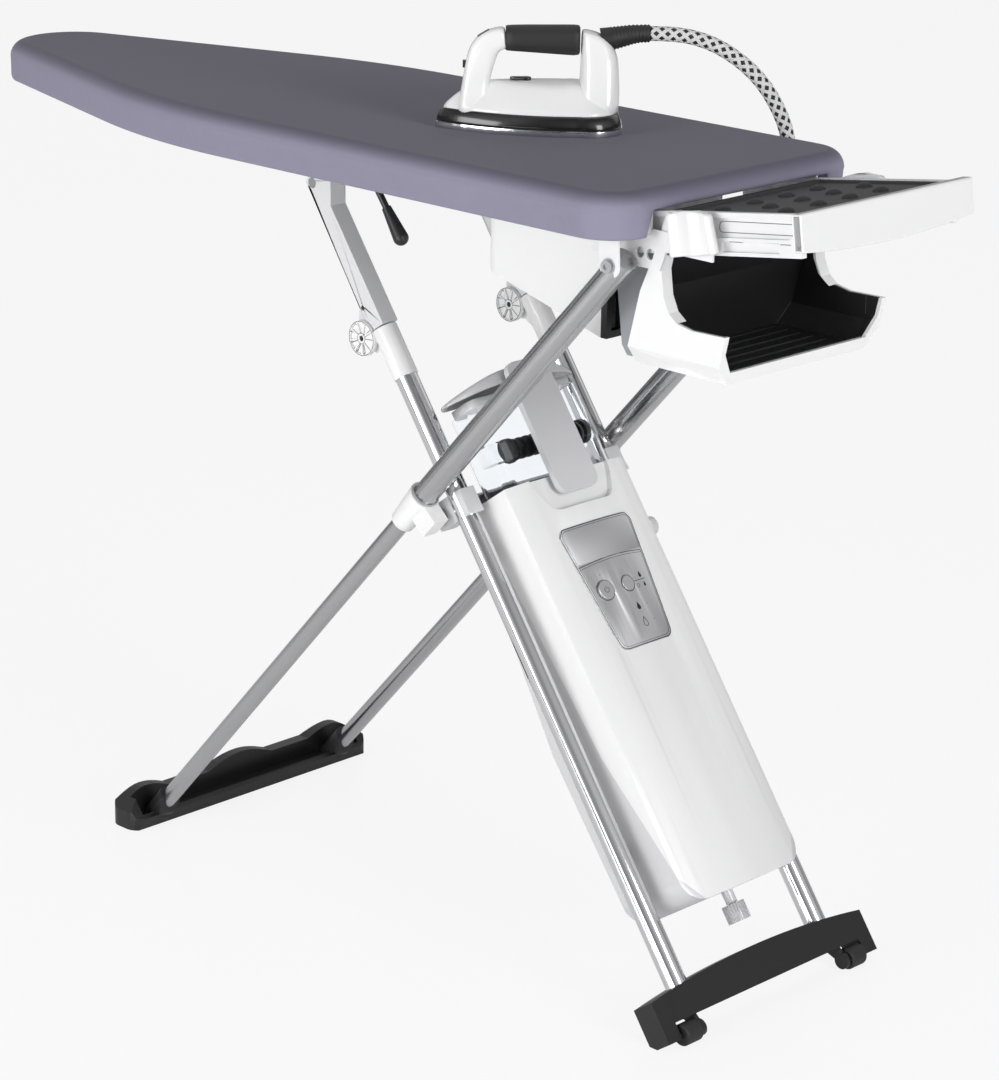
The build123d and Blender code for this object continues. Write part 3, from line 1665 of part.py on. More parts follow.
def boiler_vessel():
    """The pressure vessel, its heating element and the steam valve on top."""
    body = upright(vessel_radius, vessel_low, vessel_high, vessel_off, 0)
    ends = body.edges().filter_by(GeomType.CIRCLE)
    body = fillet(ends, vessel_dome)
    wall = vessel_wall
    inner = upright(vessel_radius - wall, vessel_low + wall, vessel_high - wall, vessel_off, 0)
    inner = fillet(inner.edges().filter_by(GeomType.CIRCLE), vessel_dome - vessel_wall)
    floor = housing_bottom + housing_wall + 2
    skirt = upright(vessel_skirt_radius, floor, vessel_low + 8, vessel_off, 0)
    skirt -= upright(vessel_skirt_radius - vessel_skirt_wall, floor - 1, vessel_low + 9, vessel_off, 0)
    skirt &= housing_solid(housing_wall)
    skirt -= body
    valve = block(
        vessel_off - valve_side / 2, vessel_off + valve_side / 2,
        valve_y - valve_side / 2, valve_y + valve_side / 2,
        vessel_high - 8, vessel_high + valve_height,
    )
    valve = valve - body
    shell = body + skirt + valve - inner
    shell -= upright(valve_bore, vessel_high - 20, vessel_high + valve_height + 1, vessel_off, valve_y)
    plug = upright(element_plug_radius, vessel_low - 6, vessel_low + vessel_wall + 2, vessel_off, 0)
    shell -= upright(element_plug_radius, vessel_low - 7, vessel_low + 4, vessel_off, 0)
    element = plug
    for y in (-element_spread, element_spread):
        top = vessel_low + element_length
        element += upright(element_radius, vessel_low, top, vessel_off, y)
        element += Pos(vessel_off, y, top) * Sphere(element_radius)
    top = vessel_low + element_length
    element += crosswise(element_radius, -element_spread, element_spread, vessel_off, top)
    return [rear * shell, rear * element]


def water_pump():
    """The pump under the tank's seat, with its pipe down to the vessel."""
    high = seat_at
    middle = high - pump_foot - pump_radius
    body = crosswise(pump_radius, pump_y - pump_length / 2, pump_y + pump_length / 2, pump_off, middle)
    foot = pump_radius - 4
    body += block(pump_off - foot, pump_off + foot, pump_y - 20, pump_y + 20, middle, high)
    body += upright(pump_pipe_radius, vessel_high, middle, pump_off, pump_pipe_y)
    return rear * body


def circuit_board():
    plate = block(board_off, board_off + board_sheet, -board_half, board_half, board_low, board_high)
    for y in (-22, 0, 22):
        for along in (410, 440, 500):
            plate += block(
                board_off - chip_height, board_off + 0.5,
                y - chip_size / 2, y + chip_size / 2, along - chip_size / 2, along + chip_size / 2,
            )
    plate &= block(tank_front + 0.5, 100, -100, 100, 0, 900)
    return rear * plate


# Water tank


def water_tank():
    outer = rounded_upright(tank_rear, tank_front, -tank_half, tank_half, tank_low, tank_high, tank_corner)
    wall = tank_wall
    inner = rounded_upright(
        tank_rear + wall, tank_front - wall, -tank_half + wall, tank_half - wall,
        tank_low + wall, tank_high + 1, tank_corner - wall,
    )
    tank = outer - inner
    spout_off = tank_rear + 26
    tank += upright(spout_radius, tank_low - spout_length, tank_low + 1, spout_off, 0)
    tank -= upright(spout_radius - 3, tank_low - spout_length - 1, tank_low + wall + 1, spout_off, 0)
    reach = tank_half - wall
    low_rib = (-reach - 0.5, filter_low_y - soft_gap)
    high_rib = (filter_high_y + soft_gap, reach + 0.5)
    for y_low, y_high in (low_rib, high_rib):
        tank += block(
            filter_off - filter_rib_half, filter_off + filter_rib_half, y_low, y_high,
            filter_at - filter_rib_reach, filter_at + filter_rib_reach,
        )
    return rear * tank


def arch(half, low, crown, y_grow=0.0):
    """An arched outline in Y and Z, flat below, drawn by one arc above."""
    width = half + y_grow
    return Curve() + [
        ThreePointArc((-width, low), (0, crown), (width, low)),
        Line((width, low), (-width, low)),
    ]


def tank_lid():
    """The crescent lid, hollow beneath, that the tank is lifted by."""
    plane = Plane(origin=(lid_rear, 0, 0), x_dir=(0, 1, 0), z_dir=(1, 0, 0))
    depth = lid_front - lid_rear
    lid = extrude(plane * make_face(arch(lid_half, lid_end_at, lid_crown_at)), depth)
    under = make_face(arch(lid_half - 14, lid_end_at - 1, lid_crown_at - lid_thick))
    hollow = Pos(lid_thick, 0, 0) * extrude(plane * under, depth - 2 * lid_thick)
    lid -= hollow
    seat_low = tank_high + soft_gap
    lid += block(lid_rear + lid_thick, lid_front - lid_thick, -lid_half + 16, lid_half - 16,
                 seat_low + 2, seat_low + 5)
    inside = tank_wall + slide_gap
    ahead = tank_front - inside - lid_front_play
    lip = rounded_upright(
        tank_rear + inside, ahead, -tank_half + inside, tank_half - inside,
        seat_low - lid_skirt, seat_low + 3, tank_corner - inside,
    )
    lip -= rounded_upright(
        tank_rear + inside + 2, ahead - 2, -tank_half + inside + 2, tank_half - inside - 2,
        seat_low - lid_skirt - 1, seat_low + 2, tank_corner - inside - 2,
    )
    lid += lip
    rim = rounded_upright(
        tank_rear, tank_front, -tank_half, tank_half, seat_low, lid_end_at + 1, tank_corner,
    )
    rim -= rounded_upright(
        tank_rear + 6, tank_front - 6, -tank_half + 6, tank_half - 6,
        seat_low - 1, lid_end_at + 2, tank_corner - 6,
    )
    lid += rim
    for y in (-lid_hinge_y, lid_hinge_y):
        half = lid_hinge_length / 2
        lid += crosswise(lid_hinge_radius, y - half, y + half, lid_hinge_off, lid_hinge_at)
    bridge = block(lid_front - 1, grip_rear, -lid_bridge_half, lid_bridge_half, lid_end_at, grip_high - 12)
    return rear * (lid + bridge)


def tank_grip():
    """The white tongue that hangs from the lid into the recess."""
    outline = [
        (-grip_half, grip_low), (grip_half, grip_low), (grip_half, grip_high), (-grip_half, grip_high)
    ]
    return rear * front_slab(outline, grip_rear, grip_front, grip_round)


def filter_cartridge():
    bar = crosswise(filter_core_radius, filter_low_y, filter_high_y, filter_off, filter_at)
    cap = filter_cap_thick
    bar += crosswise(filter_radius, filter_low_y, filter_low_y + cap, filter_off, filter_at)
    bar += crosswise(filter_radius, filter_high_y - cap, filter_high_y, filter_off, filter_at)
    span = filter_high_y - filter_low_y - 2 * cap
    for number in range(filter_fins):
        y = filter_low_y + cap + span * (number + 0.5) / filter_fins
        bar += crosswise(
            filter_radius - 2, y - filter_fin_thick / 2, y + filter_fin_thick / 2, filter_off, filter_at
        )
    return rear * bar


# Front legs


def front_leg_tube():
    """A thin chromed tube, swaged out at its upper end to guide it in the fat one, at +Y."""
    inner = lower_tube_radius - lower_tube_wall
    guide = upper_tube_radius - upper_tube_wall - 2 * running_fit
    tube = upright(lower_tube_radius, lower_tube_end, lower_end, 0, front_tube_y)
    tube += upright(guide, lower_end - 20, lower_end - 2, 0, front_tube_y)
    return front * (tube - upright(inner, lower_tube_end - 1, lower_end + 1, 0, front_tube_y))


def leg_sleeve():
    """The white sleeve that joins a front tube to the pivot shaft, at +Y."""
    top = upper_start - bush_flange - slide_gap
    low = top - sleeve_length
    cone = Cone(sleeve_radius_low, sleeve_radius_high, sleeve_length)
    sleeve = Pos(0, front_tube_y, (low + top) / 2) * cone
    ear_low = front_pivot_along - sleeve_ear_height / 2
    ear_high = min(top, front_pivot_along + sleeve_ear_height / 2)
    ear = block(
        0, front_offset + sleeve_ear_past,
        front_tube_y - sleeve_ear_width / 2, front_tube_y + sleeve_ear_width / 2,
        ear_low, ear_high,
    )
    sleeve += ear
    sleeve -= upright(lower_tube_radius + running_fit, low - 1, top + 1, 0, front_tube_y)
    bore = journal_radius + running_fit
    sleeve -= crosswise(bore, front_tube_y - 40, journal_end, front_offset, front_pivot_along)
    return front * sleeve


def cross_bar():
    """The pivot shaft: a square bar with round journals through collars and sleeves."""
    half = bar_side / 2
    corners = [(-half, -half), (half, -half), (half, half), (-half, half)]
    bar = side_slab(corners, -bar_half, bar_half, bar_corner)
    bar += crosswise(journal_radius, -journal_end, journal_end, 0, 0)
    return front * (Pos(front_offset, 0, front_pivot_along) * bar)


def hump(middle, half, start, top, end):
    """Points of a rounded hump's upper edge, from +Y to -Y."""
    points = []
    for step in range(-front_hump_steps, front_hump_steps + 1):
        share = step / front_hump_steps
        foot = start if step < 0 else end
        height = foot + (top - foot) * cos(share * pi / 2)
        points.append((middle - half * share, height))
    return points


def front_foot():
    """A trough-shaped foot with a humped back wall and a socket for each tube."""
    humps = [(-front_foot_end_half, 0), (front_foot_end_half, 0)]
    humps += hump(front_hump_at, front_hump_half, front_hump_end, front_hump_outer, front_hump_dip)
    humps += hump(0, front_hump_mid_half, front_hump_dip, front_hump_mid, front_hump_dip)
    humps += hump(-front_hump_at, front_hump_half, front_hump_dip, front_hump_outer, front_hump_end)
    body = front_slab(humps, front_foot_back_x, front_foot_front_x)
    wall_x = front_foot_back_x + front_foot_back_lean
    inner_x = wall_x + front_foot_back_wall
    outline = [
        (front_foot_back_x, 0),
        (front_foot_front_x - 4, 0),
        (front_foot_front_x, front_foot_lip),
        (front_foot_front_x - 6, front_foot_lip + 2),
        (inner_x, front_hump_mid + 4),
        (wall_x, front_hump_mid + 4),
        (front_foot_back_x + 3, 26),
    ]
    body &= side_slab(outline, -front_foot_end_half, front_foot_end_half)
    plan = rounded_upright(
        front_foot_back_x, front_foot_front_x, -front_foot_end_half, front_foot_end_half,
        0, front_hump_mid + 5, front_foot_round,
    )
    body &= plan
    half = front_foot_half - front_foot_wall
    body -= block(inner_x, front_foot_front_x - 7, -half, half, front_foot_base, 200)
    radius = lower_tube_radius + front_socket_wall
    for y in (-front_tube_y, front_tube_y):
        socket = front * upright(radius, -90, front_socket_top, 0, y)
        keep = block(inner_x - 2, front_foot_front_x - 1, -half, half, 1, 100)
        keep += block(
            front_foot_front_x - 2, front_foot_front_x + front_socket_reach,
            -half, half, front_socket_low, 100,
        )
        body += socket & keep
        body -= front * upright(lower_tube_radius + running_fit, lower_tube_end, 60, 0, y)
    return body


def upper_tube():
    """A fat grooved tube on the thin one, with a bush in its mouth, at +Y."""
    inner = upper_tube_radius - upper_tube_wall
    tube = upright(upper_tube_radius, upper_start, upper_end, 0, front_tube_y)
    tube -= upright(inner, upper_start - 1, upper_end - upper_tube_wall, 0, front_tube_y)
    for side in (0, 180):
        for turn in (-groove_spread, 0, groove_spread):
            cut = block(
                upper_tube_radius - groove_depth, upper_tube_radius + 2,
                -groove_width / 2, groove_width / 2, upper_start - 1, upper_end + 1,
            )
            tube -= Pos(0, front_tube_y, 0) * Rot(0, 0, 90 + side + turn) * cut
    low, high = front_tube_y - 40, front_tube_y + 40
    tube -= crosswise(bolt_radius + running_fit, low, high, 0, heel_along)
    bush = upright(inner, upper_start, upper_start + bush_length, 0, front_tube_y)
    bush += upright(bush_flange_radius, upper_start - bush_flange, upper_start, 0, front_tube_y)
    bore = lower_tube_radius + 2 * running_fit
    bush -= upright(bore, upper_start - 10, upper_start + bush_length + 1, 0, front_tube_y)
    return [front * tube, front * bush]


def heel_bolt():
    """The bolt through an upper tube that rests in the bracket's notch, at +Y."""
    inner = front_tube_y - upper_tube_radius
    tab_out = front_tube_y + upper_tube_radius + moving_gap + tab_thick
    start = tab_out + soft_gap
    bolt = crosswise(bolt_radius, inner, start + washer_thick, heel_pivot_x, heel_pivot_z)
    bolt += crosswise(washer_radius, start, start + washer_thick, heel_pivot_x, heel_pivot_z)
    head_end = start + washer_thick + bolt_head_thick
    head = crosswise(bolt_head_radius, start + washer_thick, head_end, heel_pivot_x, heel_pivot_z)
    head -= crosswise(bolt_head_radius * 0.45, head_end - 2, head_end + 1, heel_pivot_x, heel_pivot_z)
    return bolt + head


# Steam hose and its collar


def hose_radii():
    """The largest arc that each corner's two runs allow."""
    radii = []
    for before, corner, after in zip(hose_points, hose_points[1:], hose_points[2:]):
        run_in = Vector(*corner) - Vector(*before)
        run_out = Vector(*after) - Vector(*corner)
        turn = radians(run_in.get_angle(run_out))
        shorter = min(run_in.length, run_out.length)
        radii.append(hose_ease * shorter / tan(turn / 2))
    return radii


def steam_hose():
    radii = hose_radii()
    print("hose radii", [round(radius, 1) for radius in radii])
    path = FilletPolyline(*hose_points, radius=radii)
    start = Vector(*hose_points[1]) - Vector(*hose_points[0])
    section = Plane(origin=hose_points[0], z_dir=start) * Circle(hose_radius)
    hose = sweep(section, path=path)
    print("hose volume over section times length", hose.volume / (pi * hose_radius ** 2 * path.length))
    print("hose length", path.length)
    return hose


def hose_socket():
    """The collar that the hose goes into, on an arm from under the deck."""
    x, y, z = hose_points[-1]
    low = z - collar_hose_length
    collar = upright(collar_hose_radius, low, z, x, y)
    rim = collar.edges().filter_by(GeomType.CIRCLE).sort_by(Axis.Z)[0]
    collar = fillet(rim, 3)
    root = half_width - collar_arm_root
    half = collar_arm_width / 2
    arm_top = hem_bottom - 3
    collar += block(x - half, x + half, root, y, arm_top - collar_arm_height, arm_top)
    collar += block(x - half, x + half, root, root + 6, arm_top - 1, deck_under)
    return collar


# Iron


def iron_face(inset):
    """The iron's outline from above, drawn in by an inset."""
    tip = iron_tip + inset * 1.25
    side = iron_half - inset
    tail = iron_tail - inset
    wide = 60.0 - inset * 0.4
    rear_flat = max(side - 34.0, 4.0)
    quarter = (tip + (wide - tip) * 0.42, side * 0.72)
    upper = [
        ThreePointArc((tip, 0), quarter, (wide, side)),
        ThreePointArc((wide, side), (tail - (tail - wide) * 0.2, side - (side - rear_flat) * 0.32),
                      (tail, rear_flat)),
    ]
    lower = [mirror(edge, about=Plane.XZ) for edge in upper]
    back = Line((tail, rear_flat), (tail, -rear_flat))
    return make_face(Curve() + [*upper, *lower, back])


def iron_soleplate():
    plate = extrude(iron_face(0), sole_thick)
    holes = int((iron_tail - iron_tip) / 2 / steam_hole_pitch)
    for number in range(holes):
        s = iron_tip + 26 + number * steam_hole_pitch
        y = (s - iron_tip) * 0.3
        for side in (-y, y):
            plate -= upright(steam_hole_radius, -1, 3, s, side)
    return iron * plate


def iron_base_ring():
    low = iron_face(1.5)
    high = iron_face(ring_lean)
    return iron * loft([Pos(0, 0, sole_thick) * low, Pos(0, 0, ring_top) * high])


def dome_sections():
    """Height and inset of each level of the dome."""
    levels = []
    for step in range(5):
        turn = radians(90 * step / 4)
        rise = ring_top + (dome_top - ring_top) * sin(turn)
        inset = ring_lean + 1 + dome_lean * (1 - cos(turn))
        levels.append((rise, inset))
    return levels


def iron_body():
    faces = [Pos(0, 0, z) * iron_face(inset) for z, inset in dome_sections()]
    dome = loft(faces, ruled=True)
    bore = dome_pin_radius + running_fit
    socket = upright(bore, dome_top - dome_pin_length - 1, dome_top + 1, dome_lever_s, 0)
    return iron * (dome - handle_solid() - socket)


def handle_outline():
    return [
        (post_foot_front, ring_top + 2),
        (post_mid_front, post_mid_z),
        (handle_bend - 18, handle_top - 14),
        (handle_bend, handle_top - 3),
        (grip_start, handle_top),
        (grip_start, handle_under),
        (post_mid_rear + 3, handle_under - 2),
        (post_mid_rear, post_mid_z - 4),
        (post_foot_rear, ring_top + 2),
    ]


def tower_outline():
    return [
        (tower_inner, ring_top + 1),
        (tower_inner, tower_top_z - 1),
        (tower_top_front, tower_top_z),
        (tower_shoulder, tower_shoulder_z),
        (iron_tail - 4, 60),
        (iron_tail - ring_lean, ring_top + 1),
    ]


def handle_solid():
    post = side_slab(handle_outline(), -post_half, post_half)
    tower = side_slab(tower_outline(), -tower_low_half, tower_low_half)
    taper = [
        (-tower_low_half, ring_top),
        (tower_low_half, ring_top),
        (tower_top_half, tower_top_z + 1),
        (-tower_top_half, tower_top_z + 1),
    ]
    tower &= front_slab(taper, tower_inner - 1, iron_tail)
    tower &= extrude(Pos(0, 0, 0) * iron_face(ring_lean), 200)
    core = block(grip_start - 2, tower_inner + 2, -core_half, core_half, core_low, core_high)
    return post + core + tower


def iron_handle():
    handle = handle_solid()
    handle -= oval_space(button_gap)
    handle -= front_button_space(button_gap)
    base = block(iron_tip, iron_tail, -iron_half, iron_half, 0, ring_top)
    return iron * (handle - base) - strain_relief()


def iron_grip():
    """The soft sleeve round the handle, thicker towards the rear."""
    outline = [
        (grip_start + soft_gap, grip_start_low),
        (grip_end - soft_gap, grip_end_low),
        (grip_end - soft_gap, grip_end_high),
        (grip_start + soft_gap, grip_start_high),
    ]
    grip = side_slab(outline, -grip_half_width, grip_half_width)
    long_edges = grip.edges().filter_by(lambda edge: edge.length > 60)
    grip = fillet(long_edges, 10)
    core = block(
        grip_start - 2, tower_inner + 2,
        -core_half - running_fit, core_half + running_fit,
        core_low - running_fit, core_high + running_fit,
    )
    return iron * (grip - core)


def oval_space(grow):
    """The slanted oval well in the bend of the handle."""
    lean = atan2(3 - 14, 18 - 0)
    slot = SlotOverall(2 * (oval_long + grow), 2 * (oval_wide + grow))
    spot = Pos(oval_s, 0, oval_z) * Rot(0, degrees(lean), 0)
    return spot * (Pos(0, 0, -oval_sink) * extrude(slot, oval_sink + 20))


def oval_button():
    lean = atan2(3 - 14, 18 - 0)
    slot = SlotOverall(2 * oval_long, 2 * oval_wide)
    spot = Pos(oval_s, 0, oval_z) * Rot(0, degrees(lean), 0)
    high = extrude(slot, oval_sink - 1.5 + oval_proud + oval_face_rise())
    return iron * (spot * (Pos(0, 0, -oval_sink + 1.5) * high))


def oval_face_rise():
    """How far the handle's surface lies above the button's own middle."""
    rise = (handle_top - 14) + (oval_s - (handle_bend - 18)) * 11 / 18 - oval_z
    return rise * cos(atan2(11, 18))


def front_button_space(grow):
    return block(
        front_button_s - 20, front_button_s + front_button_depth + grow,
        -front_button_wide / 2 - grow, front_button_wide / 2 + grow,
        front_button_z - front_button_tall / 2 - grow, front_button_z + front_button_tall / 2 + grow,
    )


def front_button():
    return iron * block(
        front_button_s - front_button_proud, front_button_s + front_button_depth - 1.5,
        -front_button_wide / 2, front_button_wide / 2,
        front_button_z - front_button_tall / 2, front_button_z + front_button_tall / 2,
    )


def dome_lever():
    """The small pointer on the dome that sets the steam."""
    low = dome_top + soft_gap
    half = dome_lever_width / 2
    front_end = dome_lever_s - dome_lever_length * 0.6
    rear_end = dome_lever_s + dome_lever_length * 0.4
    outline = [
        (front_end, 0), (dome_lever_s - 4, -half), (rear_end, -half * 0.6),
        (rear_end, half * 0.6), (dome_lever_s - 4, half),
    ]
    lever = extrude(Pos(0, 0, low) * polygon(outline), dome_lever_thick)
    return iron * (lever + upright(dome_pin_radius, dome_top - dome_pin_length, low + 1, dome_lever_s, 0))


def strain_relief():
    """The strain relief between the iron and its hose."""
    end = Vector(*hose_points[0])
    hose_way = Vector(*hose_points[1]) - end
    neck = end - hose_way.normalized() * relief_tail
    start = (iron * Pos(relief_start, 0, relief_start_z)).position
    step = neck - start
    cone = Pos(0, 0, step.length / 2) * Cone(relief_root_radius, relief_end_radius, step.length)
    relief = Plane(origin=start, z_dir=step).location * cone
    relief += Pos(neck.X, neck.Y, neck.Z) * Sphere(relief_end_radius)
    relief += Plane(origin=neck, z_dir=hose_way).location * upright(relief_end_radius, 0, relief_tail)
    return relief


def main():
    os.makedirs("parts", exist_ok=True)
    save("board_cover", board_cover())
    save("board_pad", board_pad())
    save("board_deck", board_deck())
    save("heel_brackets", *on_both_sides(heel_bracket()))
    save("heel_beams", *on_both_sides(heel_beam()))
    save("holder_blocks", *on_both_sides(holder_block()))
    save("compartment_shell", compartment_shell())
    save("compartment_liner", compartment_liner())
    save("compartment_back", compartment_back())
    save("blower_housing", blower_housing())
    save("air_grille", air_grille())
    save("fan_motor", fan_motor())
    save("fan_rotor", fan_rotor())
    save("tray_frame", tray_frame())
    save("tray_front_bar", tray_front_bar())
    save("tray_mat", tray_mat())
    save("lever_shaft", lever_shaft())
    save("lever_grip", lever_grip())
    save("clamp_block", *clamp_block())
    save("carriage_runners", *on_both_sides(carriage_runner()))
    save("carriage_bar", carriage_bar())
    save("arms", *on_both_sides(arm()))
    save("rear_leg_tubes", *on_both_sides(rear_leg_tube()))
    knee_pieces = []
    for piece in knuckle():
        knee_pieces.extend(on_both_sides(piece))
    save("knee_joints", *knee_pieces)
    save("pivot_collars", *on_both_sides(pivot_collar()))
    save("rear_foot", *rear_foot())
    save("castor_left", castor(1))
    save("castor_right", castor(-1))
    save("boiler_front_shell", boiler_front_shell())
    save("boiler_rear_shell", boiler_rear_shell())
    save("control_panel", control_panel())
    save("power_button", panel_button(power_button_y, power_button_radius))
    save("steam_button", panel_button(steam_button_y, steam_button_radius))
    save("side_knob", side_knob())
    save("drain_cap", drain_cap())
    save("mains_inlet", mains_inlet())
    save("boiler_vessel", *boiler_vessel())
    save("water_pump", water_pump())
    save("circuit_board", circuit_board())
    save("water_tank", water_tank())
    save("tank_lid", tank_lid())
    save("tank_grip", tank_grip())
    save("filter_cartridge", filter_cartridge())
    save("front_leg_tubes", *on_both_sides(front_leg_tube()))
    save("leg_sleeves", *on_both_sides(leg_sleeve()))
    save("cross_bar", cross_bar())
    save("front_foot", front_foot())
    upper_pieces = []
    for piece in upper_tube():
        upper_pieces.extend(on_both_sides(piece))
    save("upper_tubes", *upper_pieces)
    save("heel_bolts", *on_both_sides(heel_bolt()))
    save("steam_hose", steam_hose())
    save("hose_socket", hose_socket())
    save("iron_soleplate", iron_soleplate())
    save("iron_base_ring", iron_base_ring())
    save("iron_body", iron_body())
    save("iron_handle", iron_handle())
    save("iron_grip", iron_grip())
    save("oval_button", oval_button())
    save("front_button", front_button())
    save("dome_lever", dome_lever())
    save("strain_relief", strain_relief())


main()
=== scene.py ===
# %% [markdown]
# A steam ironing system: a padded board on folding legs, with a boiler hung between
# them and an iron on a hose. The solids come from the CAD model. This file gives them
# their finishes, and rebuilds in softer form what cloth, rubber and moulding need.

# %% Load the solids
import math

import bmesh
import bpy
from mathutils import Matrix, Vector, noise
from mathutils.bvhtree import BVHTree


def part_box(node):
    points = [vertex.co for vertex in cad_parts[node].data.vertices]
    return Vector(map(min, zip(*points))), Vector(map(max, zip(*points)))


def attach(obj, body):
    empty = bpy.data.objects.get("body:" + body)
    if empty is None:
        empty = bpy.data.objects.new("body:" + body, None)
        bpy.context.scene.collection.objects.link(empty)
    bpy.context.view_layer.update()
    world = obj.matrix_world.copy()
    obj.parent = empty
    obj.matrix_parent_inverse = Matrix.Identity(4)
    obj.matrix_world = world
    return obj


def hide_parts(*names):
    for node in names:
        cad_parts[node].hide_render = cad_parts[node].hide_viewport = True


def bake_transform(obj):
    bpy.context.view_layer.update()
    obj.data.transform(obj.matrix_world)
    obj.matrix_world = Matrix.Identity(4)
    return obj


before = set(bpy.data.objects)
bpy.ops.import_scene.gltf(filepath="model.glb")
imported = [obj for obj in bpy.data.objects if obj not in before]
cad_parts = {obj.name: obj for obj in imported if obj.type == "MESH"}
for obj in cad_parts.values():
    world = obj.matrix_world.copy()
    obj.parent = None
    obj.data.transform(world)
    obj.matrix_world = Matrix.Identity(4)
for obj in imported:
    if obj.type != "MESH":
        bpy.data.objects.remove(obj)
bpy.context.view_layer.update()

# %% [markdown]
# The camera comes first, because everything is judged through it. Its place, lens and
# slight roll were fitted to the photograph, so they are written down as numbers and
# the three axes are built from them, which is clearer than turning it by hand.

# %% The camera
CAMERA_AT = Vector((2.8716, -2.7786, 1.7081))
CAMERA_YAW = 0.774
CAMERA_PITCH = math.radians(17.81)
CAMERA_ROLL = 0.014
CAMERA_LENS = 112.37


def aim_camera():
    """A camera at the photograph's place, looking the photograph's way."""
    ahead = Vector((
        -math.sin(CAMERA_YAW) * math.cos(CAMERA_PITCH),
        math.cos(CAMERA_YAW) * math.cos(CAMERA_PITCH),
        -math.sin(CAMERA_PITCH),
    ))
    level = Vector((math.cos(CAMERA_YAW), math.sin(CAMERA_YAW), 0.0))
    upward = level.cross(ahead)
    right = level * math.cos(CAMERA_ROLL) + upward * math.sin(CAMERA_ROLL)
    above = upward * math.cos(CAMERA_ROLL) - level * math.sin(CAMERA_ROLL)
    data = bpy.data.cameras.new("camera")
    data.sensor_fit = "VERTICAL"
    data.sensor_height = 36.0
    data.lens = CAMERA_LENS
    data.clip_end = 60.0
    camera = bpy.data.objects.new("camera", data)
    axes = Matrix((right, above, -ahead)).transposed().to_4x4()
    camera.matrix_world = Matrix.Translation(CAMERA_AT) @ axes
    bpy.context.scene.collection.objects.link(camera)
    bpy.context.scene.camera = camera


aim_camera()
bpy.context.scene.view_settings.view_transform = "Standard"

# %% [markdown]
# A finish is a small program of shader nodes. Written node by node it is hard to read,
# so one class wraps a socket and lets sums be written as sums, and another makes any
# node from its type, its settings and its inputs.

# %% Sums on shader sockets


class Value:
    """One socket of a shader, so that sums on it read as plain expressions."""

    def __init__(self, finish, socket):
        self.finish = finish
        self.socket = socket

    def sum(self, operation, first, second):
        return self.finish.node("ShaderNodeMath", {"operation": operation}, {0: first, 1: second})

    def __add__(self, other):
        return self.sum("ADD", self, other)

    def __radd__(self, other):
        return self.sum("ADD", other, self)

    def __sub__(self, other):
        return self.sum("SUBTRACT", self, other)

    def __rsub__(self, other):
        return self.sum("SUBTRACT", other, self)

    def __mul__(self, other):
        return self.sum("MULTIPLY", self, other)

    def __rmul__(self, other):
        return self.sum("MULTIPLY", other, self)

    def __truediv__(self, other):
        return self.sum("DIVIDE", self, other)


class Finish:
    """A material under construction: one Principled shader and what feeds it."""

    def __init__(self, name):
        self.material = bpy.data.materials.new(name)
        self.material.use_nodes = True
        self.tree = self.material.node_tree
        self.shader = self.tree.nodes["Principled BSDF"]

    def put(self, socket, value):
        """Link a value to a socket, or write a plain number or colour on it."""
        if isinstance(value, Value):
            self.tree.links.new(value.socket, socket)
        elif isinstance(value, (tuple, list)) and len(value) == 3 and socket.type == "RGBA":
            socket.default_value = (*value, 1.0)
        else:
            socket.default_value = value

    def node(self, kind, settings=None, sockets=None, output=0):
        """Any node: its type, its settings, then the values or links of its sockets."""
        node = self.tree.nodes.new(kind)
        for key, value in (settings or {}).items():
            if key == "stops":
                ramp = node.color_ramp
                while len(ramp.elements) < len(value):
                    ramp.elements.new(0.5)
                for element, (place, colour) in zip(ramp.elements, value):
                    element.position = place
                    element.color = (*colour, 1.0)
            else:
                setattr(node, key, value)
        for key, value in (sockets or {}).items():
            self.put(node.inputs[key], value)
        return Value(self, node.outputs[output])

    def surface(self, **sockets):
        """Set the shader's own sockets; an underscore in a name stands for a space."""
        for key, value in sockets.items():
            self.put(self.shader.inputs[key.replace("_", " ")], value)
        return self.material

    def place(self):
        """Where a point of the surface lies on the object, in metres."""
        return self.node("ShaderNodeTexCoord", output="Object")

    def stretched(self, scale):
        """The same place, with each direction stretched by its own scale."""
        return self.node("ShaderNodeVectorMath", {"operation": "MULTIPLY"}, {0: self.place(), 1: scale})

    def clouds(self, scale, detail=3.0, place=None):
        """Soft random patches between 0 and 1."""
        sockets = {"Vector": place or self.place(), "Scale": scale, "Detail": detail}
        return self.node("ShaderNodeTexNoise", {}, sockets)

    def between(self, mask, low, high):
        """One of two colours, or a mix of them, by a mask."""
        sockets = {"Factor": mask, 6: low, 7: high}
        return self.node("ShaderNodeMix", {"data_type": "RGBA"}, sockets, 2)

    def step(self, value, low, high):
        """0 below low, 1 above high, and a ramp between."""
        sockets = {"Value": value, "From Min": low, "From Max": high}
        return self.node("ShaderNodeMapRange", {}, sockets)

    def relief(self, height, depth, strength=1.0):
        """Bump from a height between 0 and 1 and its real depth in metres."""
        sockets = {"Height": height, "Distance": depth, "Strength": strength}
        return self.node("ShaderNodeBump", {}, sockets)


# %% [markdown]
# Most of the object is injection-moulded plastic. What tells it from a flat colour is a
# very fine grain, patches where handling has dulled the gloss, and a faint change of
# tone. One recipe with different numbers makes the white, grey and black mouldings.

# %% Moulded plastics


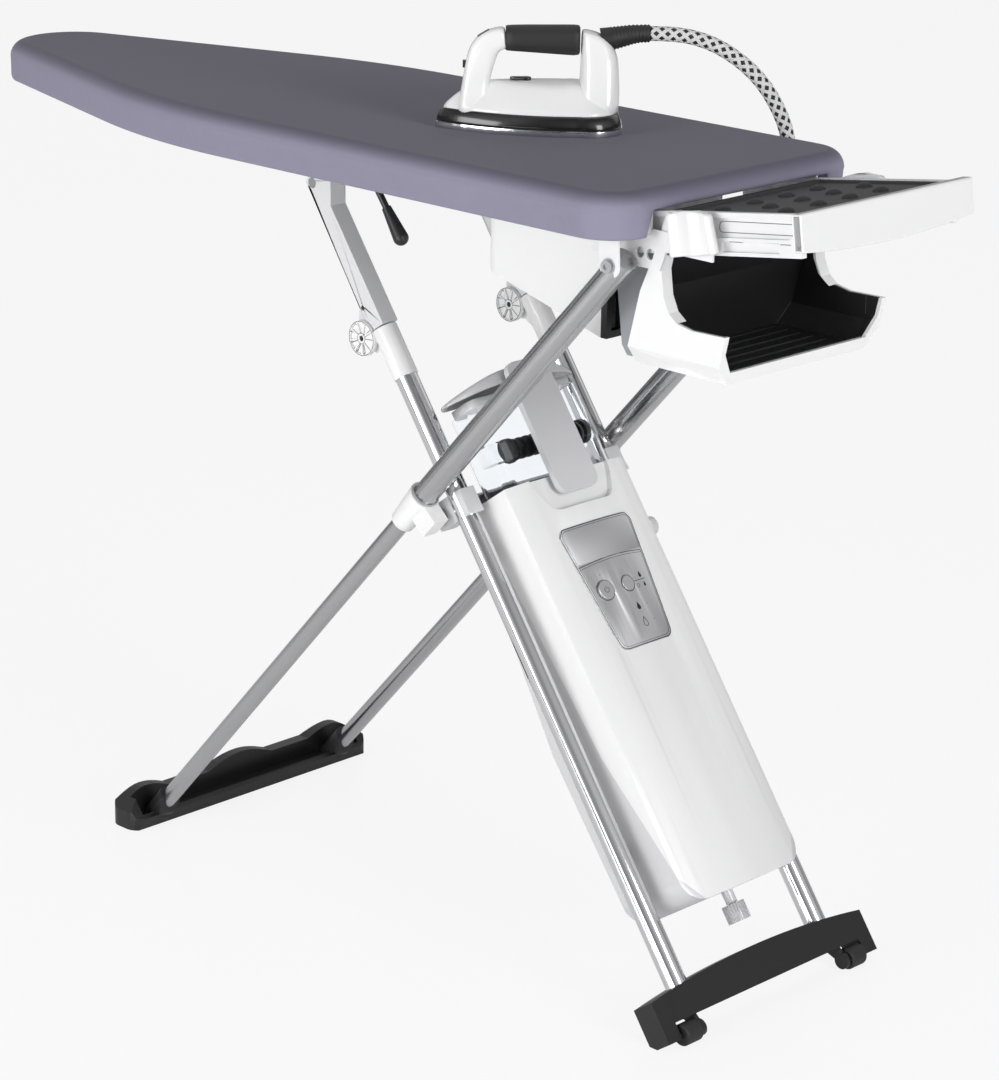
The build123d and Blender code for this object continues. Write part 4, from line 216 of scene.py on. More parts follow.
def moulded(name, colour, gloss, grain, coat=0.0, tone=0.012):
    """Moulded plastic: a colour, its roughness, the depth of its grain in metres."""
    finish = Finish(name)
    patches = finish.clouds(7.0, 1.0)
    dark = tuple(c * (1.0 - tone) for c in colour)
    fine = finish.clouds(2600.0, 2.0)
    return finish.surface(
        Base_Color=finish.between(patches, dark, colour),
        Roughness=gloss + 0.04 * patches,
        Coat_Weight=coat,
        Coat_Roughness=0.06,
        Normal=finish.relief(fine, grain, 0.6),
    )


white_gloss = moulded("white_gloss", (0.88, 0.88, 0.88), 0.22, 0.000004, coat=0.4)
white_satin = moulded("white_satin", (0.86, 0.86, 0.86), 0.34, 0.000008)
pale_grey = moulded("pale_grey", (0.66, 0.66, 0.67), 0.28, 0.000006, coat=0.3)
pearl_grey = moulded("pearl_grey", (0.50, 0.50, 0.51), 0.26, 0.000006, coat=0.3)
# Painted shade: the arms are the white satin moulding made darker, standing in for the shade they sit in.
shaded_arm_white = moulded("shaded_arm_white", (0.72, 0.72, 0.73), 0.30, 0.000006)
mid_grey = moulded("mid_grey", (0.30, 0.31, 0.33), 0.42, 0.00001)
black_grain = moulded("black_grain", (0.013, 0.013, 0.014), 0.38, 0.00002, tone=0.2)
black_gloss = moulded("black_gloss", (0.010, 0.010, 0.011), 0.16, 0.000004, coat=0.3, tone=0.2)
black_rubber = moulded("black_rubber", (0.016, 0.016, 0.017), 0.55, 0.00003, tone=0.2)
nylon = moulded("nylon", (0.72, 0.72, 0.70), 0.45, 0.00001)

# %% [markdown]
# The metals differ in how they were worked. Chromed tube is almost a mirror with a few
# hairline rubs along it, drawn steel is dull along the draw, and the sole of the iron is
# polished and then fine-brushed. Stretched noise gives the lines a direction.

# %% Metals


def worked_metal(name, colour, gloss, lines, spread):
    """Metal whose roughness varies in lines; lines is the noise scale for X, Y and Z."""
    finish = Finish(name)
    streaks = finish.clouds(1.0, 3.0, finish.stretched(lines))
    patches = finish.clouds(14.0)
    return finish.surface(
        Base_Color=finish.between(patches, tuple(c * 0.94 for c in colour), colour),
        Metallic=1.0,
        Roughness=gloss + spread * streaks,
        Normal=finish.relief(streaks, 0.00001, 0.25),
    )


chrome = worked_metal("chrome", (0.74, 0.74, 0.75), 0.04, (40.0, 900.0, 40.0), 0.04)
brushed_tube = worked_metal("brushed_tube", (0.54, 0.54, 0.55), 0.19, (25.0, 1500.0, 25.0), 0.12)
panel_foil = worked_metal("panel_foil", (0.76, 0.76, 0.77), 0.36, (300.0, 300.0, 300.0), 0.05)
drawn_steel = worked_metal("drawn_steel", (0.60, 0.60, 0.62), 0.24, (60.0, 1200.0, 60.0), 0.14)
plated_steel = worked_metal("plated_steel", (0.50, 0.51, 0.53), 0.20, (500.0, 30.0, 500.0), 0.10)
polished_sole = worked_metal("polished_sole", (0.82, 0.82, 0.84), 0.12, (900.0, 900.0, 40.0), 0.08)


def painted(name, colour, gloss):
    """Powder-coated sheet metal with a faint orange-peel surface."""
    finish = Finish(name)
    peel = finish.clouds(700.0, 2.0)
    patches = finish.clouds(6.0)
    return finish.surface(
        Base_Color=finish.between(patches, tuple(c * 0.96 for c in colour), colour),
        Roughness=gloss + 0.06 * patches,
        Normal=finish.relief(peel, 0.00003, 0.35),
    )


white_paint = painted("white_paint", (0.84, 0.84, 0.85), 0.30)
grey_paint = painted("grey_paint", (0.55, 0.56, 0.58), 0.36)
black_paint = painted("black_paint", (0.015, 0.015, 0.016), 0.30)

# %% [markdown]
# The water tank is clear plastic. A refracting shader with a real index shows its edges
# as the light and dark lines that clear mouldings have, which a faded colour would not.

# %% Clear plastic and printed laminate


def clear_plastic():
    finish = Finish("clear_plastic")
    haze = finish.clouds(18.0)
    finish.surface(
        Base_Color=finish.between(haze, (0.93, 0.95, 0.97), (0.97, 0.98, 0.99)),
        Roughness=0.01 + 0.02 * haze,
        IOR=1.16,
    )
    return finish.surface(Transmission_Weight=1.0)


def green_laminate():
    finish = Finish("green_laminate")
    tracks = finish.node("ShaderNodeTexWave", {"wave_type": "BANDS"}, {"Scale": 320.0, "Distortion": 3.0})
    copper = finish.step(tracks, 0.78, 0.82)
    return finish.surface(
        Base_Color=finish.between(copper, (0.01, 0.10, 0.04), (0.05, 0.25, 0.10)),
        Roughness=0.4 - 0.1 * copper,
    )


clear = clear_plastic()
laminate = green_laminate()

# %% [markdown]
# Every solid gets the finish of the real piece that it stands for. A table of names is
# the plainest way, and a check shows that none was forgotten.

# %% Finishes of the solids
FINISHES = {
    "board_cover": white_satin, "board_pad": white_satin, "board_deck": grey_paint,
    "heel_brackets": white_paint, "heel_beams": white_paint, "holder_blocks": white_gloss,
    "compartment_shell": white_gloss, "compartment_liner": black_grain,
    "compartment_back": mid_grey, "blower_housing": white_satin, "air_grille": black_grain,
    "fan_motor": drawn_steel, "fan_rotor": black_grain, "clamp_block": black_grain,
    "hose_socket": black_grain, "tray_frame": white_paint, "tray_front_bar": white_gloss,
    "tray_mat": black_rubber, "lever_shaft": black_paint, "lever_grip": black_grain,
    "carriage_runners": nylon, "carriage_bar": plated_steel, "arms": shaded_arm_white,
    "rear_leg_tubes": chrome, "knee_joints": white_gloss, "pivot_collars": pale_grey,
    "rear_foot": black_grain, "castor_left": black_rubber, "castor_right": black_rubber,
    "boiler_front_shell": white_gloss, "boiler_rear_shell": pale_grey,
    "control_panel": panel_foil, "boiler_vessel": drawn_steel, "water_pump": black_grain,
    "circuit_board": laminate, "mains_inlet": black_grain, "power_button": panel_foil,
    "steam_button": panel_foil, "side_knob": pale_grey, "drain_cap": pearl_grey,
    "water_tank": clear, "filter_cartridge": black_grain, "tank_lid": pearl_grey,
    "tank_grip": pale_grey, "front_leg_tubes": brushed_tube, "leg_sleeves": white_gloss,
    "cross_bar": plated_steel, "front_foot": black_grain, "upper_tubes": brushed_tube,
    "heel_bolts": drawn_steel, "steam_hose": black_rubber, "iron_soleplate": polished_sole,
    "iron_base_ring": black_gloss, "iron_body": white_gloss, "iron_handle": white_gloss,
    "iron_grip": black_rubber, "oval_button": black_grain, "front_button": black_grain,
    "dome_lever": black_gloss, "strain_relief": black_rubber,
}
for name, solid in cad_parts.items():
    solid.data.materials.clear()
    solid.data.materials.append(FINISHES[name])
print("finished solids:", len(FINISHES), "unused names:", set(FINISHES) - set(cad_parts))

# %% [markdown]
# Pieces built here are mostly skins over a row of outlines, as a boat is planked over
# its frames. One helper joins the rows into faces, and another makes an arc through
# three points, which is how the outlines were drawn in the CAD model too.

# %% Helpers for built pieces


def new_piece(name, points, faces, material, smooth=True):
    """A mesh object from points and faces, linked into the scene."""
    mesh = bpy.data.meshes.new(name)
    mesh.from_pydata([tuple(p) for p in points], [], faces)
    mesh.validate()
    if smooth:
        mesh.shade_smooth()
    mesh.materials.append(material)
    piece = bpy.data.objects.new(name, mesh)
    bpy.context.scene.collection.objects.link(piece)
    return piece


def skin(rows, closed=True, first_cap=False, last_cap=False):
    """Faces over rows of equal length; closed rows join their ends."""
    count = len(rows[0])
    points = [p for row in rows for p in row]
    faces = []
    for row in range(len(rows) - 1):
        for k in range(count if closed else count - 1):
            a = row * count + k
            b = row * count + (k + 1) % count
            faces.append((a, b, b + count, a + count))
    if first_cap:
        faces.append(tuple(reversed(range(count))))
    if last_cap:
        start = (len(rows) - 1) * count
        faces.append(tuple(range(start, start + count)))
    return points, faces


def arc_points(start, middle, end, count):
    """Points on the circle through three points of a plane, end left out."""
    (ax, ay), (bx, by), (cx, cy) = start, middle, end
    d = 2 * (ax * (by - cy) + bx * (cy - ay) + cx * (ay - by))
    a2, b2, c2 = ax * ax + ay * ay, bx * bx + by * by, cx * cx + cy * cy
    ox = (a2 * (by - cy) + b2 * (cy - ay) + c2 * (ay - by)) / d
    oy = (a2 * (cx - bx) + b2 * (ax - cx) + c2 * (bx - ax)) / d
    radius = math.hypot(ax - ox, ay - oy)
    first = math.atan2(ay - oy, ax - ox)
    through = (math.atan2(by - oy, bx - ox) - first) % math.tau
    last = (math.atan2(cy - oy, cx - ox) - first) % math.tau
    if through > last:
        last -= math.tau
    turns = [first + last * k / count for k in range(count)]
    return [(ox + radius * math.cos(t), oy + radius * math.sin(t)) for t in turns]


# %% [markdown]
# The cover is cotton drawn tight over a felt pad by a cord in its hem. Its sides show
# shallow puckers that fade towards the top edge and gather where the board turns its
# corners. Simulating a whole board for creases of a millimetre would be slow, so the
# rows of the cover are moved by smooth noise, most at the hem.

# %% The cover
HEEL_X, HALF, TOP, HEM = 0.522, 0.210, 0.967, 0.917
NOSE_X, NOSE_R, TAPER = -0.728, 0.0845, math.radians(17.0)
SHOULDER_R, CORNER_R, ROUND = 0.900, 0.055, 0.020
GATE_HALF, GATE_TOP = 0.147, 0.948


def spread_line(start, end, count):
    return [(start[0] + (end[0] - start[0]) * k / count, start[1] + (end[1] - start[1]) * k / count)
            for k in range(count)]


def board_row(inset):
    """The board's outline drawn in by an inset, always with the same number of points."""
    centre = NOSE_X + NOSE_R
    nose = NOSE_R - inset
    s, c = math.sin(TAPER), math.cos(TAPER)
    reach = (HALF - NOSE_R * c) / s
    corner_x = centre - NOSE_R * s + reach * c
    tangent = SHOULDER_R * math.tan(TAPER / 2)
    bend = SHOULDER_R - inset
    bx, by = corner_x + tangent, HALF - SHOULDER_R
    bend_mid = (bx - bend * math.sin(TAPER / 2), by + bend * math.cos(TAPER / 2))
    bend_end = (bx - bend * s, by + bend * c)
    kx, ky = HEEL_X - CORNER_R, HALF - CORNER_R
    r = max(CORNER_R - inset, 0.004)
    kx = min(kx, HEEL_X - inset - r)
    ky = min(ky, HALF - inset - r)
    heel = HEEL_X - inset
    half = [(heel, 0.0)]
    half = spread_line((heel, 0.0), (heel, ky), 30)
    half += arc_points((heel, ky), (kx + r * 0.70711, ky + r * 0.70711), (kx, HALF - inset), 16)
    half += spread_line((kx, HALF - inset), (bx, HALF - inset), 60)
    half += arc_points((bx, HALF - inset), bend_mid, bend_end, 30)
    touch = (centre - nose * s, nose * c)
    half += spread_line(bend_end, touch, 50)
    half += arc_points(touch, (centre - nose * math.cos(0.64), nose * math.sin(0.64)), (centre - nose, 0.0), 20)
    half.append((centre - nose, 0.0))
    other = [(x, -y) for x, y in reversed(half[1:-1])]
    return half + other


def pucker(x, y, depth):
    """Depth of the creases at a place on the edge, in metres, never outwards."""
    along = noise.noise(Vector((x * 38.0, y * 38.0, 0.3)))
    fine = noise.noise(Vector((x * 95.0, y * 95.0, 4.1)))
    corner = math.exp(-((x - 0.46) ** 2 + (abs(y) - 0.2) ** 2) / 0.006)
    return depth * (0.5 + 1.2 * corner) * (0.6 + 0.9 * along + 0.45 * fine)


def hem_height(x, y):
    """The hem's height: it rises over the gap that the tray passes through."""
    if x < HEEL_X - 0.08:
        return HEM
    rise = 1.0 - min(max((abs(y) - GATE_HALF) / 0.006, 0.0), 1.0)
    return HEM + (GATE_TOP - HEM) * rise


def crease_way(x, y):
    """The way a crease sinks in: towards the board's long middle, level."""
    if y == 0.0:
        return Vector((-1.0 if x > 0.0 else 1.0, 0.0, 0.0))
    return Vector((-0.3 if x > 0.3 else 0.0, -y, 0.0)).normalized()


def cover_rows():
    """Rows of the cover from its turned-in hem, up the side and over onto the top."""
    rise = TOP - ROUND - HEM
    profile = [(0.017, 0.0, 0.0, 1.0), (0.010, -0.0002, 0.0, 1.0), (0.0046, -0.0001, 0.0, 1.0),
               (0.0025, 0.0005, 0.0002, 1.0), (0.0014, 0.0020, 0.0008, 1.0), (0.0006, 0.0050, 0.0014, 1.0)]
    for step in range(8):
        share = step / 7
        lift = 0.009 + share * (rise - 0.009)
        profile.append((0.0004, lift, 0.0018, (1 - share) ** 0.5))
    for step in range(1, 10):
        turn = math.radians(10 * step)
        lift = rise + ROUND * math.sin(turn)
        profile.append((0.0004 + ROUND * (1 - math.cos(turn)), lift, 0.0008, 0.4))
    for inset in (0.024, 0.030, 0.038, 0.048, 0.062, 0.075):
        profile.append((inset, TOP - HEM, 0.0, 0.0))
    edge = board_row(0.0)
    rows = []
    for inset, lift, depth, share in profile:
        row = []
        for (x, y), (ox, oy) in zip(board_row(inset), edge):
            low = hem_height(ox, oy)
            z = HEM + lift if lift > rise else low + lift * (TOP - ROUND - low) / rise
            sunk = crease_way(ox, oy) * max(pucker(ox, oy, depth) * share, 0.0)
            row.append((x + sunk.x, y + sunk.y, z))
        rows.append(row)
    return rows


def cover_cloth():
    """Violet-grey cotton with painted shade on its top, a plain weave and slow changes of tone."""
    finish = Finish("cover_cloth")
    place = finish.place()
    warp = finish.node("ShaderNodeTexWave", {"bands_direction": "X"}, {"Vector": place, "Scale": 320.0})
    weft = finish.node("ShaderNodeTexWave", {"bands_direction": "Y"}, {"Vector": place, "Scale": 320.0})
    threads = warp * 0.5 + weft * 0.5
    slow = finish.clouds(3.2, 4.0)
    slub = finish.clouds(160.0, 2.0)
    tone = slow * 0.55 + slub * 0.25 + threads * 0.2
    # Painted shade: faces that point up get a darker copy of the cloth colour, standing in for the shade that lies on
    # the board's top.
    way = finish.node("ShaderNodeSeparateXYZ", {}, {"Vector": finish.node(
        "ShaderNodeTexCoord", output="Normal")}, "Z")
    top = finish.step(way, 0.35, 0.98)
    lit_side_tone = finish.between(tone, (0.225, 0.214, 0.292), (0.285, 0.272, 0.362))
    shaded_top_tone = finish.between(tone, (0.098, 0.094, 0.132), (0.138, 0.132, 0.178))
    return finish.surface(
        Base_Color=finish.between(top, lit_side_tone, shaded_top_tone),
        Roughness=0.66 + 0.12 * slub,
        Specular_IOR_Level=0.25,
        Sheen_Weight=0.10,
        Sheen_Roughness=0.4,
        Normal=finish.relief(threads + 0.8 * slub, 0.00008, 0.35),
    )


cloth = cover_cloth()
rows = cover_rows()
points, faces = skin(rows, last_cap=True)
cover = new_piece("cover", points, faces, cloth)
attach(cover, "board")
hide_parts("board_cover")
print("cover faces:", len(faces))

# %% [markdown]
# Under the cover lies a felt pad. It never shows from outside, but it carries the
# cover, so it is a plain soft slab with a rounded rim and a felt finish.

# %% The felt pad


def felt():
    finish = Finish("felt")
    fibres = finish.clouds(900.0, 5.0)
    return finish.surface(
        Base_Color=finish.between(fibres, (0.62, 0.61, 0.58), (0.75, 0.74, 0.71)),
        Roughness=0.95,
        Normal=finish.relief(fibres, 0.0003, 0.6),
    )


pad_low, pad_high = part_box("board_pad")
pad_rows = [[(x, y, pad_low[2] + 0.0001) for x, y in board_row(0.008)]]
for depth in (0.0105, 0.009, 0.007, 0.005, 0.0032, 0.0022, 0.0016, 0.0012):
    inset = 0.0016 + ROUND - math.sqrt(ROUND ** 2 - (ROUND - depth) ** 2)
    height = min(TOP - depth - 0.0016, pad_high[2] - 0.0002)
    pad_rows.append([(x, y, max(height, pad_low[2] + 0.0004)) for x, y in board_row(inset)])
pad_rows.append([(x, y, pad_high[2] - 0.0002) for x, y in board_row(0.070)])
points, faces = skin(pad_rows, first_cap=True, last_cap=True)
felt_pad = new_piece("felt_pad", points, faces, felt())
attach(felt_pad, "board")
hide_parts("board_pad")

# %% [markdown]
# The steam hose is a rubber tube in a braided sleeve, white with black flecks. Its line
# is one smooth spline through the same points as the CAD tube. Its mesh is
# made here ring by ring, so that each point knows its place round and along the hose,
# which is what the braid pattern needs.

# %% The steam hose
HOSE_RADIUS = 0.0085
HOSE_POINTS = [
    (0.2840, 0.1050, 1.0790),
    (0.3030, 0.1235, 1.0790),
    (0.3220, 0.1415, 1.0750),
    (0.3405, 0.1585, 1.0660),
    (0.3575, 0.1740, 1.0520),
    (0.3720, 0.1885, 1.0350),
    (0.3830, 0.2010, 1.0150),
    (0.3910, 0.2115, 0.9930),
    (0.3965, 0.2195, 0.9710),
    (0.3990, 0.2235, 0.9490),
    (0.3990, 0.2235, 0.9300),
]


def spline_line(points, resolution=16):
    """The points along a smooth spline over a row of control points."""
    curve = bpy.data.curves.new("hose_line", "CURVE")
    curve.dimensions = "3D"
    curve.resolution_u = resolution
    spline = curve.splines.new("NURBS")
    spline.points.add(len(points) - 1)
    for point, place in zip(spline.points, points):
        point.co = (*place, 1.0)
    spline.order_u = 3
    spline.use_endpoint_u = True
    holder = bpy.data.objects.new("hose_line", curve)
    mesh = bpy.data.meshes.new_from_object(holder)
    line = [v.co.copy() for v in mesh.vertices]
    bpy.data.objects.remove(holder)
    bpy.data.meshes.remove(mesh)
    return line


def line_length(line):
    return sum((b - a).length for a, b in zip(line, line[1:]))


def tube_rings(line, radius_at, sides):
    """Rings round a line, without twist, and the distance along it of each."""
    rings, reached, far = [], [], 0.0
    side = Vector((0.0, 0.0, 1.0))
    for k, point in enumerate(line):
        ahead = (line[min(k + 1, len(line) - 1)] - line[max(k - 1, 0)]).normalized()
        side = (side - ahead * side.dot(ahead)).normalized()
        across = ahead.cross(side)
        if k:
            far += (point - line[k - 1]).length
        reached.append(far)
        ring = []
        for turn in range(sides):
            angle = math.tau * turn / sides
            ring.append(point + (side * math.cos(angle) + across * math.sin(angle)) * radius_at(far))
        rings.append(ring)
    return rings, reached


def braid():
    """A two-way braid from the place round and along the hose that the mesh carries."""
    finish = Finish("braid")
    place = finish.node("ShaderNodeAttribute", {"attribute_name": "braid_place"}, output="Vector")
    parts = finish.tree.nodes.new("ShaderNodeSeparateXYZ")
    finish.put(parts.inputs[0], place)
    around = Value(finish, parts.outputs[0])
    along = Value(finish, parts.outputs[1])
    left = around * 9.0 + along * 8.0
    right = around * 9.0 - along * 8.0
    left_half = finish.node("ShaderNodeMath", {"operation": "PINGPONG"}, {0: left, 1: 1.0})
    right_half = finish.node("ShaderNodeMath", {"operation": "PINGPONG"}, {0: right, 1: 1.0})
    fleck = finish.step(left_half, 0.40, 0.48) * finish.step(right_half, 0.40, 0.48)
    strand_a = finish.node("ShaderNodeMath", {"operation": "PINGPONG"}, {0: left * 2.0, 1: 0.5})
    strand_b = finish.node("ShaderNodeMath", {"operation": "PINGPONG"}, {0: right * 2.0, 1: 0.5})
    return finish.surface(
        Base_Color=finish.between(fleck, (0.70, 0.70, 0.70), (0.012, 0.012, 0.013)),
        Roughness=0.7 - 0.1 * fleck,
        Normal=finish.relief(strand_a + strand_b, 0.0006, 0.8),
    )


hose_line = spline_line(HOSE_POINTS)
rings, reached = tube_rings(hose_line, lambda far: HOSE_RADIUS, 28)
points, faces = skin(rings, first_cap=True, last_cap=True)
hose = new_piece("hose", points, faces, braid())
marks = hose.data.attributes.new("braid_place", "FLOAT_VECTOR", "CORNER")
sides = 28
for polygon in hose.data.polygons:
    for corner, vertex in zip(polygon.loop_indices, polygon.vertices):
        ring, turn = divmod(vertex, sides)
        share = turn / sides
        if share == 0.0 and any(v % sides == sides - 1 for v in polygon.vertices):
            share = 1.0
        marks.data[corner].vector = (share, reached[ring] / (math.tau * HOSE_RADIUS), 0.0)
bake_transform(hose)
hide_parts("steam_hose")
print("hose length:", round(line_length(hose_line), 4))

# %% [markdown]
# The iron is the piece that the eye goes to first, and it is all soft moulded forms.
# Its dome, handle, tower and grip are skinned over cross-sections: flattened ovals
# whose corners can be made squarer or rounder with one number. They share the iron's
# own axes, which are turned against the board's.

# %% The iron's axes and sections
IRON = Matrix.Translation((0.1844, 0.0075, 0.9673)) @ Matrix.Rotation(math.radians(44.33), 4, "Z")


def on_iron(s, y, z):
    """A point in the iron's own millimetres, as a place on the object."""
    return IRON @ Vector((s / 1000, y / 1000, z / 1000))


def oval(count, squareness):
    """Points of a flattened oval of half size 1; squareness 2 is a plain ellipse."""
    points = []
    for k in range(count):
        turn = math.tau * k / count
        c, s = math.cos(turn), math.sin(turn)
        power = 2.0 / squareness
        points.append((math.copysign(abs(c) ** power, c), math.copysign(abs(s) ** power, s)))
    return points


def sole_row(inset, height):
    """The iron's outline seen from above, drawn in by an inset, at a height."""
    tip, side, tail = -107.0 + 1.25 * inset, 57.0 - inset, 109.0 - inset
    wide = 60.0 - 0.4 * inset
    flat = max(side - 34.0, 4.0)
    quarter = (tip + (wide - tip) * 0.42, side * 0.72)
    turn = (tail - (tail - wide) * 0.2, side - (side - flat) * 0.32)
    half = arc_points((tip, 0.0), quarter, (wide, side), 30)
    half += arc_points((wide, side), turn, (tail, flat), 14)
    half += spread_line((tail, flat), (tail, 0.0), 5)
    half.append((tail, 0.0))
    other = [(s, -y) for s, y in reversed(half[1:-1])]
    return [on_iron(s, y, height) for s, y in half + other]


def iron_piece(name, rows, material, node, smooth_steps=0, **caps):
    points, faces = skin(rows, **caps)
    piece = new_piece(name, points, faces, material)
    if smooth_steps:
        rounder = piece.modifiers.new("smooth", "SUBSURF")
        rounder.levels = rounder.render_levels = smooth_steps
    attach(piece, "iron")
    if node:
        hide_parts(node)
    return piece


# %% [markdown]
# The dome swells from the black ring and flattens towards the top. Rows of the sole's
# outline, each drawn in a little more than the last, give exactly that. The ring has a
# rolled lower lip and a thin shadow gap under the dome.

# %% Ring and dome
ring_rows = [sole_row(i, z) for i, z in (
    (6.0, 7.0), (2.4, 7.0), (1.2, 7.8), (1.1, 9.5), (2.0, 14.0), (3.8, 19.0), (5.2, 21.6), (6.6, 22.8), (9.0, 23.0),
)]
iron_piece("iron_ring", ring_rows, black_gloss, "iron_base_ring", first_cap=True, last_cap=True)

dome_rows = [sole_row(i, z) for i, z in (
    (9.0, 20.0), (7.8, 22.6), (7.6, 24.0), (8.4, 26.4), (10.4, 29.6), (13.4, 33.2), (17.0, 37.0), (21.0, 40.8),
    (25.0, 44.4), (29.0, 47.8), (33.0, 50.8), (36.6, 53.2), (40.0, 54.9), (43.5, 55.8), (47.0, 56.0),
)]
iron_piece("iron_dome", dome_rows, white_gloss, "iron_body", last_cap=True)


# %% [markdown]
# The handle rises from the front of the dome, bends back, runs level inside the grip
# and comes down in a broad tower that holds the hose. Each is a row of ovals.

# %% Handle, tower and grip
def upright_rows(sections, squareness=3.2):
    """Rows for a bar in the iron's middle plane: outer point, inner point, half width."""
    rows = []
    for (os, oz), (ins, iz), width in sections:
        cs, cz = (os + ins) / 2, (oz + iz) / 2
        hs, hz = (os - ins) / 2, (oz - iz) / 2
        rows.append([on_iron(cs + a * hs, b * width, cz + a * hz) for a, b in oval(28, squareness)])
    return rows


handle_rows = upright_rows([
    ((-84, 14), (-36, 14), 26), ((-81, 30), (-43, 32), 20), ((-78, 44), (-46, 47), 16),
    ((-75.5, 60), (-43, 62), 14), ((-73, 76), (-38.5, 77), 13), ((-70.5, 88), (-36, 85), 13),
    ((-65.5, 99), (-34, 89), 13), ((-57, 108.5), (-31, 91), 13), ((-46, 114.5), (-29, 91.6), 13),
    ((-34, 117.3), (-27, 91.8), 13), ((-26.5, 117.6), (-25, 92), 13),
])
iron_piece("handle_bow", handle_rows, white_gloss, None, 1, first_cap=True, last_cap=True)


def level_rows(sections, squareness):
    """Rows for a stack of level ovals: height, front and rear end, half width."""
    rows = []
    for z, front, rear, width in sections:
        cs, hs = (front + rear) / 2, (rear - front) / 2
        rows.append([on_iron(cs + a * hs, b * width, z - 0.22 * max(cs + a * hs - 60, 0) * (z > 90))
                     for a, b in oval(32, squareness)])
    return rows


tower_rows = level_rows([
    (16, 50, 105, 41), (32, 56, 105.5, 39), (50, 58.5, 105.5, 35), (68, 59.5, 104.5, 30),
    (84, 60, 103, 26), (97, 60, 101, 23), (107, 60.2, 97, 20.5), (113.5, 60.6, 88, 18), (116.0, 62, 78, 14),
], 3.0)
tower = iron_piece("handle_tower", tower_rows, white_gloss, "iron_handle", 1, first_cap=True, last_cap=True)

grip_rows = []
for s, low, high, width in (
    (-27.0, 95, 114, 9), (-27.0, 92, 117.5, 12.5), (-25.5, 90.4, 118.8, 14.6), (-18, 89.8, 119.3, 15.6),
    (0, 88.8, 119.8, 16.4), (20, 87.6, 120.0, 16.8), (40, 86.4, 120.3, 17.0), (52, 85.8, 120.4, 17.0),
    (57.5, 86.6, 119.8, 16.2), (59.0, 89, 117.5, 13.5), (59.0, 94, 112, 9),
):
    middle, half = (low + high) / 2, (high - low) / 2
    grip_rows.append([on_iron(s, a * width, middle + b * half) for a, b in oval(32, 2.7)])
iron_piece("grip_sleeve", grip_rows, black_rubber, "iron_grip", first_cap=True, last_cap=True)

# %% [markdown]
# Where the hose leaves the iron, a rubber boot keeps it from kinking. It is ribbed so
# that it bends evenly. The ribs are a ripple in the radius of a tapering tube.

# %% The hose boot
boot_start = on_iron(84.0, 0.0, 103.0)
boot_end = Vector(HOSE_POINTS[0])
hose_way = (Vector(HOSE_POINTS[1]) - boot_end).normalized()
boot_neck = boot_end - hose_way * 0.014
boot_line = spline_line([tuple(boot_start), tuple(boot_start.lerp(boot_neck, 0.5)), tuple(boot_neck), tuple(boot_end)], 30)
boot_length = line_length(boot_line)


def boot_radius(far):
    share = far / boot_length
    ripple = 0.0005 * math.cos(math.tau * far / 0.0042) if 0.22 < share < 0.97 else 0.0
    return 0.0143 - 0.0042 * min(share * 1.25, 1.0) + ripple - (0.0008 if share > 0.985 else 0.0)


boot_rings, _ = tube_rings(boot_line, boot_radius, 28)
points, faces = skin(boot_rings, first_cap=True, last_cap=True)
boot = new_piece("hose_boot", points, faces, black_rubber)
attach(boot, "iron")
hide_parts("strain_relief")

# %% [markdown]
# The tray's mat is silicone rubber. The hot iron stands on its domes, which keep the
# sole off the mat. Domes are half spheres pressed flat, one set in each row, over a
# slab with a rolled rim.

# %% The tray mat
TRAY = Matrix.Translation((0.522, 0.0, 0.944)) @ Matrix.Rotation(math.radians(-8.0), 4, "Y")


def on_tray(t, y, w):
    return TRAY @ Vector((t, y, w))


def mat_slab():
    """The slab and its rim: rounded rectangles, out and up, then in and down."""
    back, end, half = -0.0006, 0.1883, 0.1237
    rows = []
    for inset, w in ((0.004, -0.0086), (0.0, -0.0080), (0.0, -0.0022), (0.001, -0.0009), (0.003, -0.0006),
                     (0.0058, -0.0009), (0.0074, -0.0024), (0.008, -0.0037), (0.012, -0.0037)):
        corners = [(back + inset, -half + inset), (end - inset, -half + inset),
                   (end - inset, half - inset), (back + inset, half - inset)]
        row = []
        r = 0.006
        for k, (t, y) in enumerate(corners):
            mt = t + (r if t < 0.09 else -r)
            my = y + (r if y < 0 else -r)
            for step in range(6):
                turn = math.radians(180 + 90 * k + 90 * step / 5)
                row.append(on_tray(mt + r * math.cos(turn), my + r * math.sin(turn), w))
        rows.append(row)
    return skin(rows, first_cap=True, last_cap=True)


points, faces = mat_slab()
points = list(points)
domes = 0
for row in range(3):
    t = 0.006 + 0.176 * (row + 1) / 4
    shift = 0.25 if row % 2 else -0.25
    for column in range(4):
        y = (column + 0.5 + shift - 2) * 2 * (0.1237 - 0.018) / 4
        start = len(points)
        levels = 6
        for level in range(levels):
            turn = math.radians(90 * level / levels)
            radius = 0.0095 * math.cos(turn)
            for k in range(20):
                a = math.tau * k / 20
                points.append(on_tray(t + radius * math.cos(a), y + radius * math.sin(a),
                                      -0.0042 + 0.0058 * math.sin(turn)))
        points.append(on_tray(t, y, 0.0016))
        for level in range(levels - 1):
            for k in range(20):
                a = start + level * 20 + k
                b = start + level * 20 + (k + 1) % 20
                faces.append((a, b, b + 20, a + 20))
        top = start + (levels - 1) * 20
        for k in range(20):
            faces.append((top + k, top + (k + 1) % 20, len(points) - 1))
        domes += 1
mat = new_piece("silicone_mat", points, faces, black_rubber)
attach(mat, "tray")
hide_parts("tray_mat")
print("domes on the mat:", domes)

# %% [markdown]
# Thin lines tell moulded parts from plain blocks: printed rings, and painted shade in the rails'
# seams and slot edges and along the spokes of the knee discs. Each is a ribbon with a real
# thickness. A ray finds the surface under every point, so a ribbon follows curved parts as paint would.

# %% Ribbons laid on a surface
RIBBON_LIFT = 0.00012


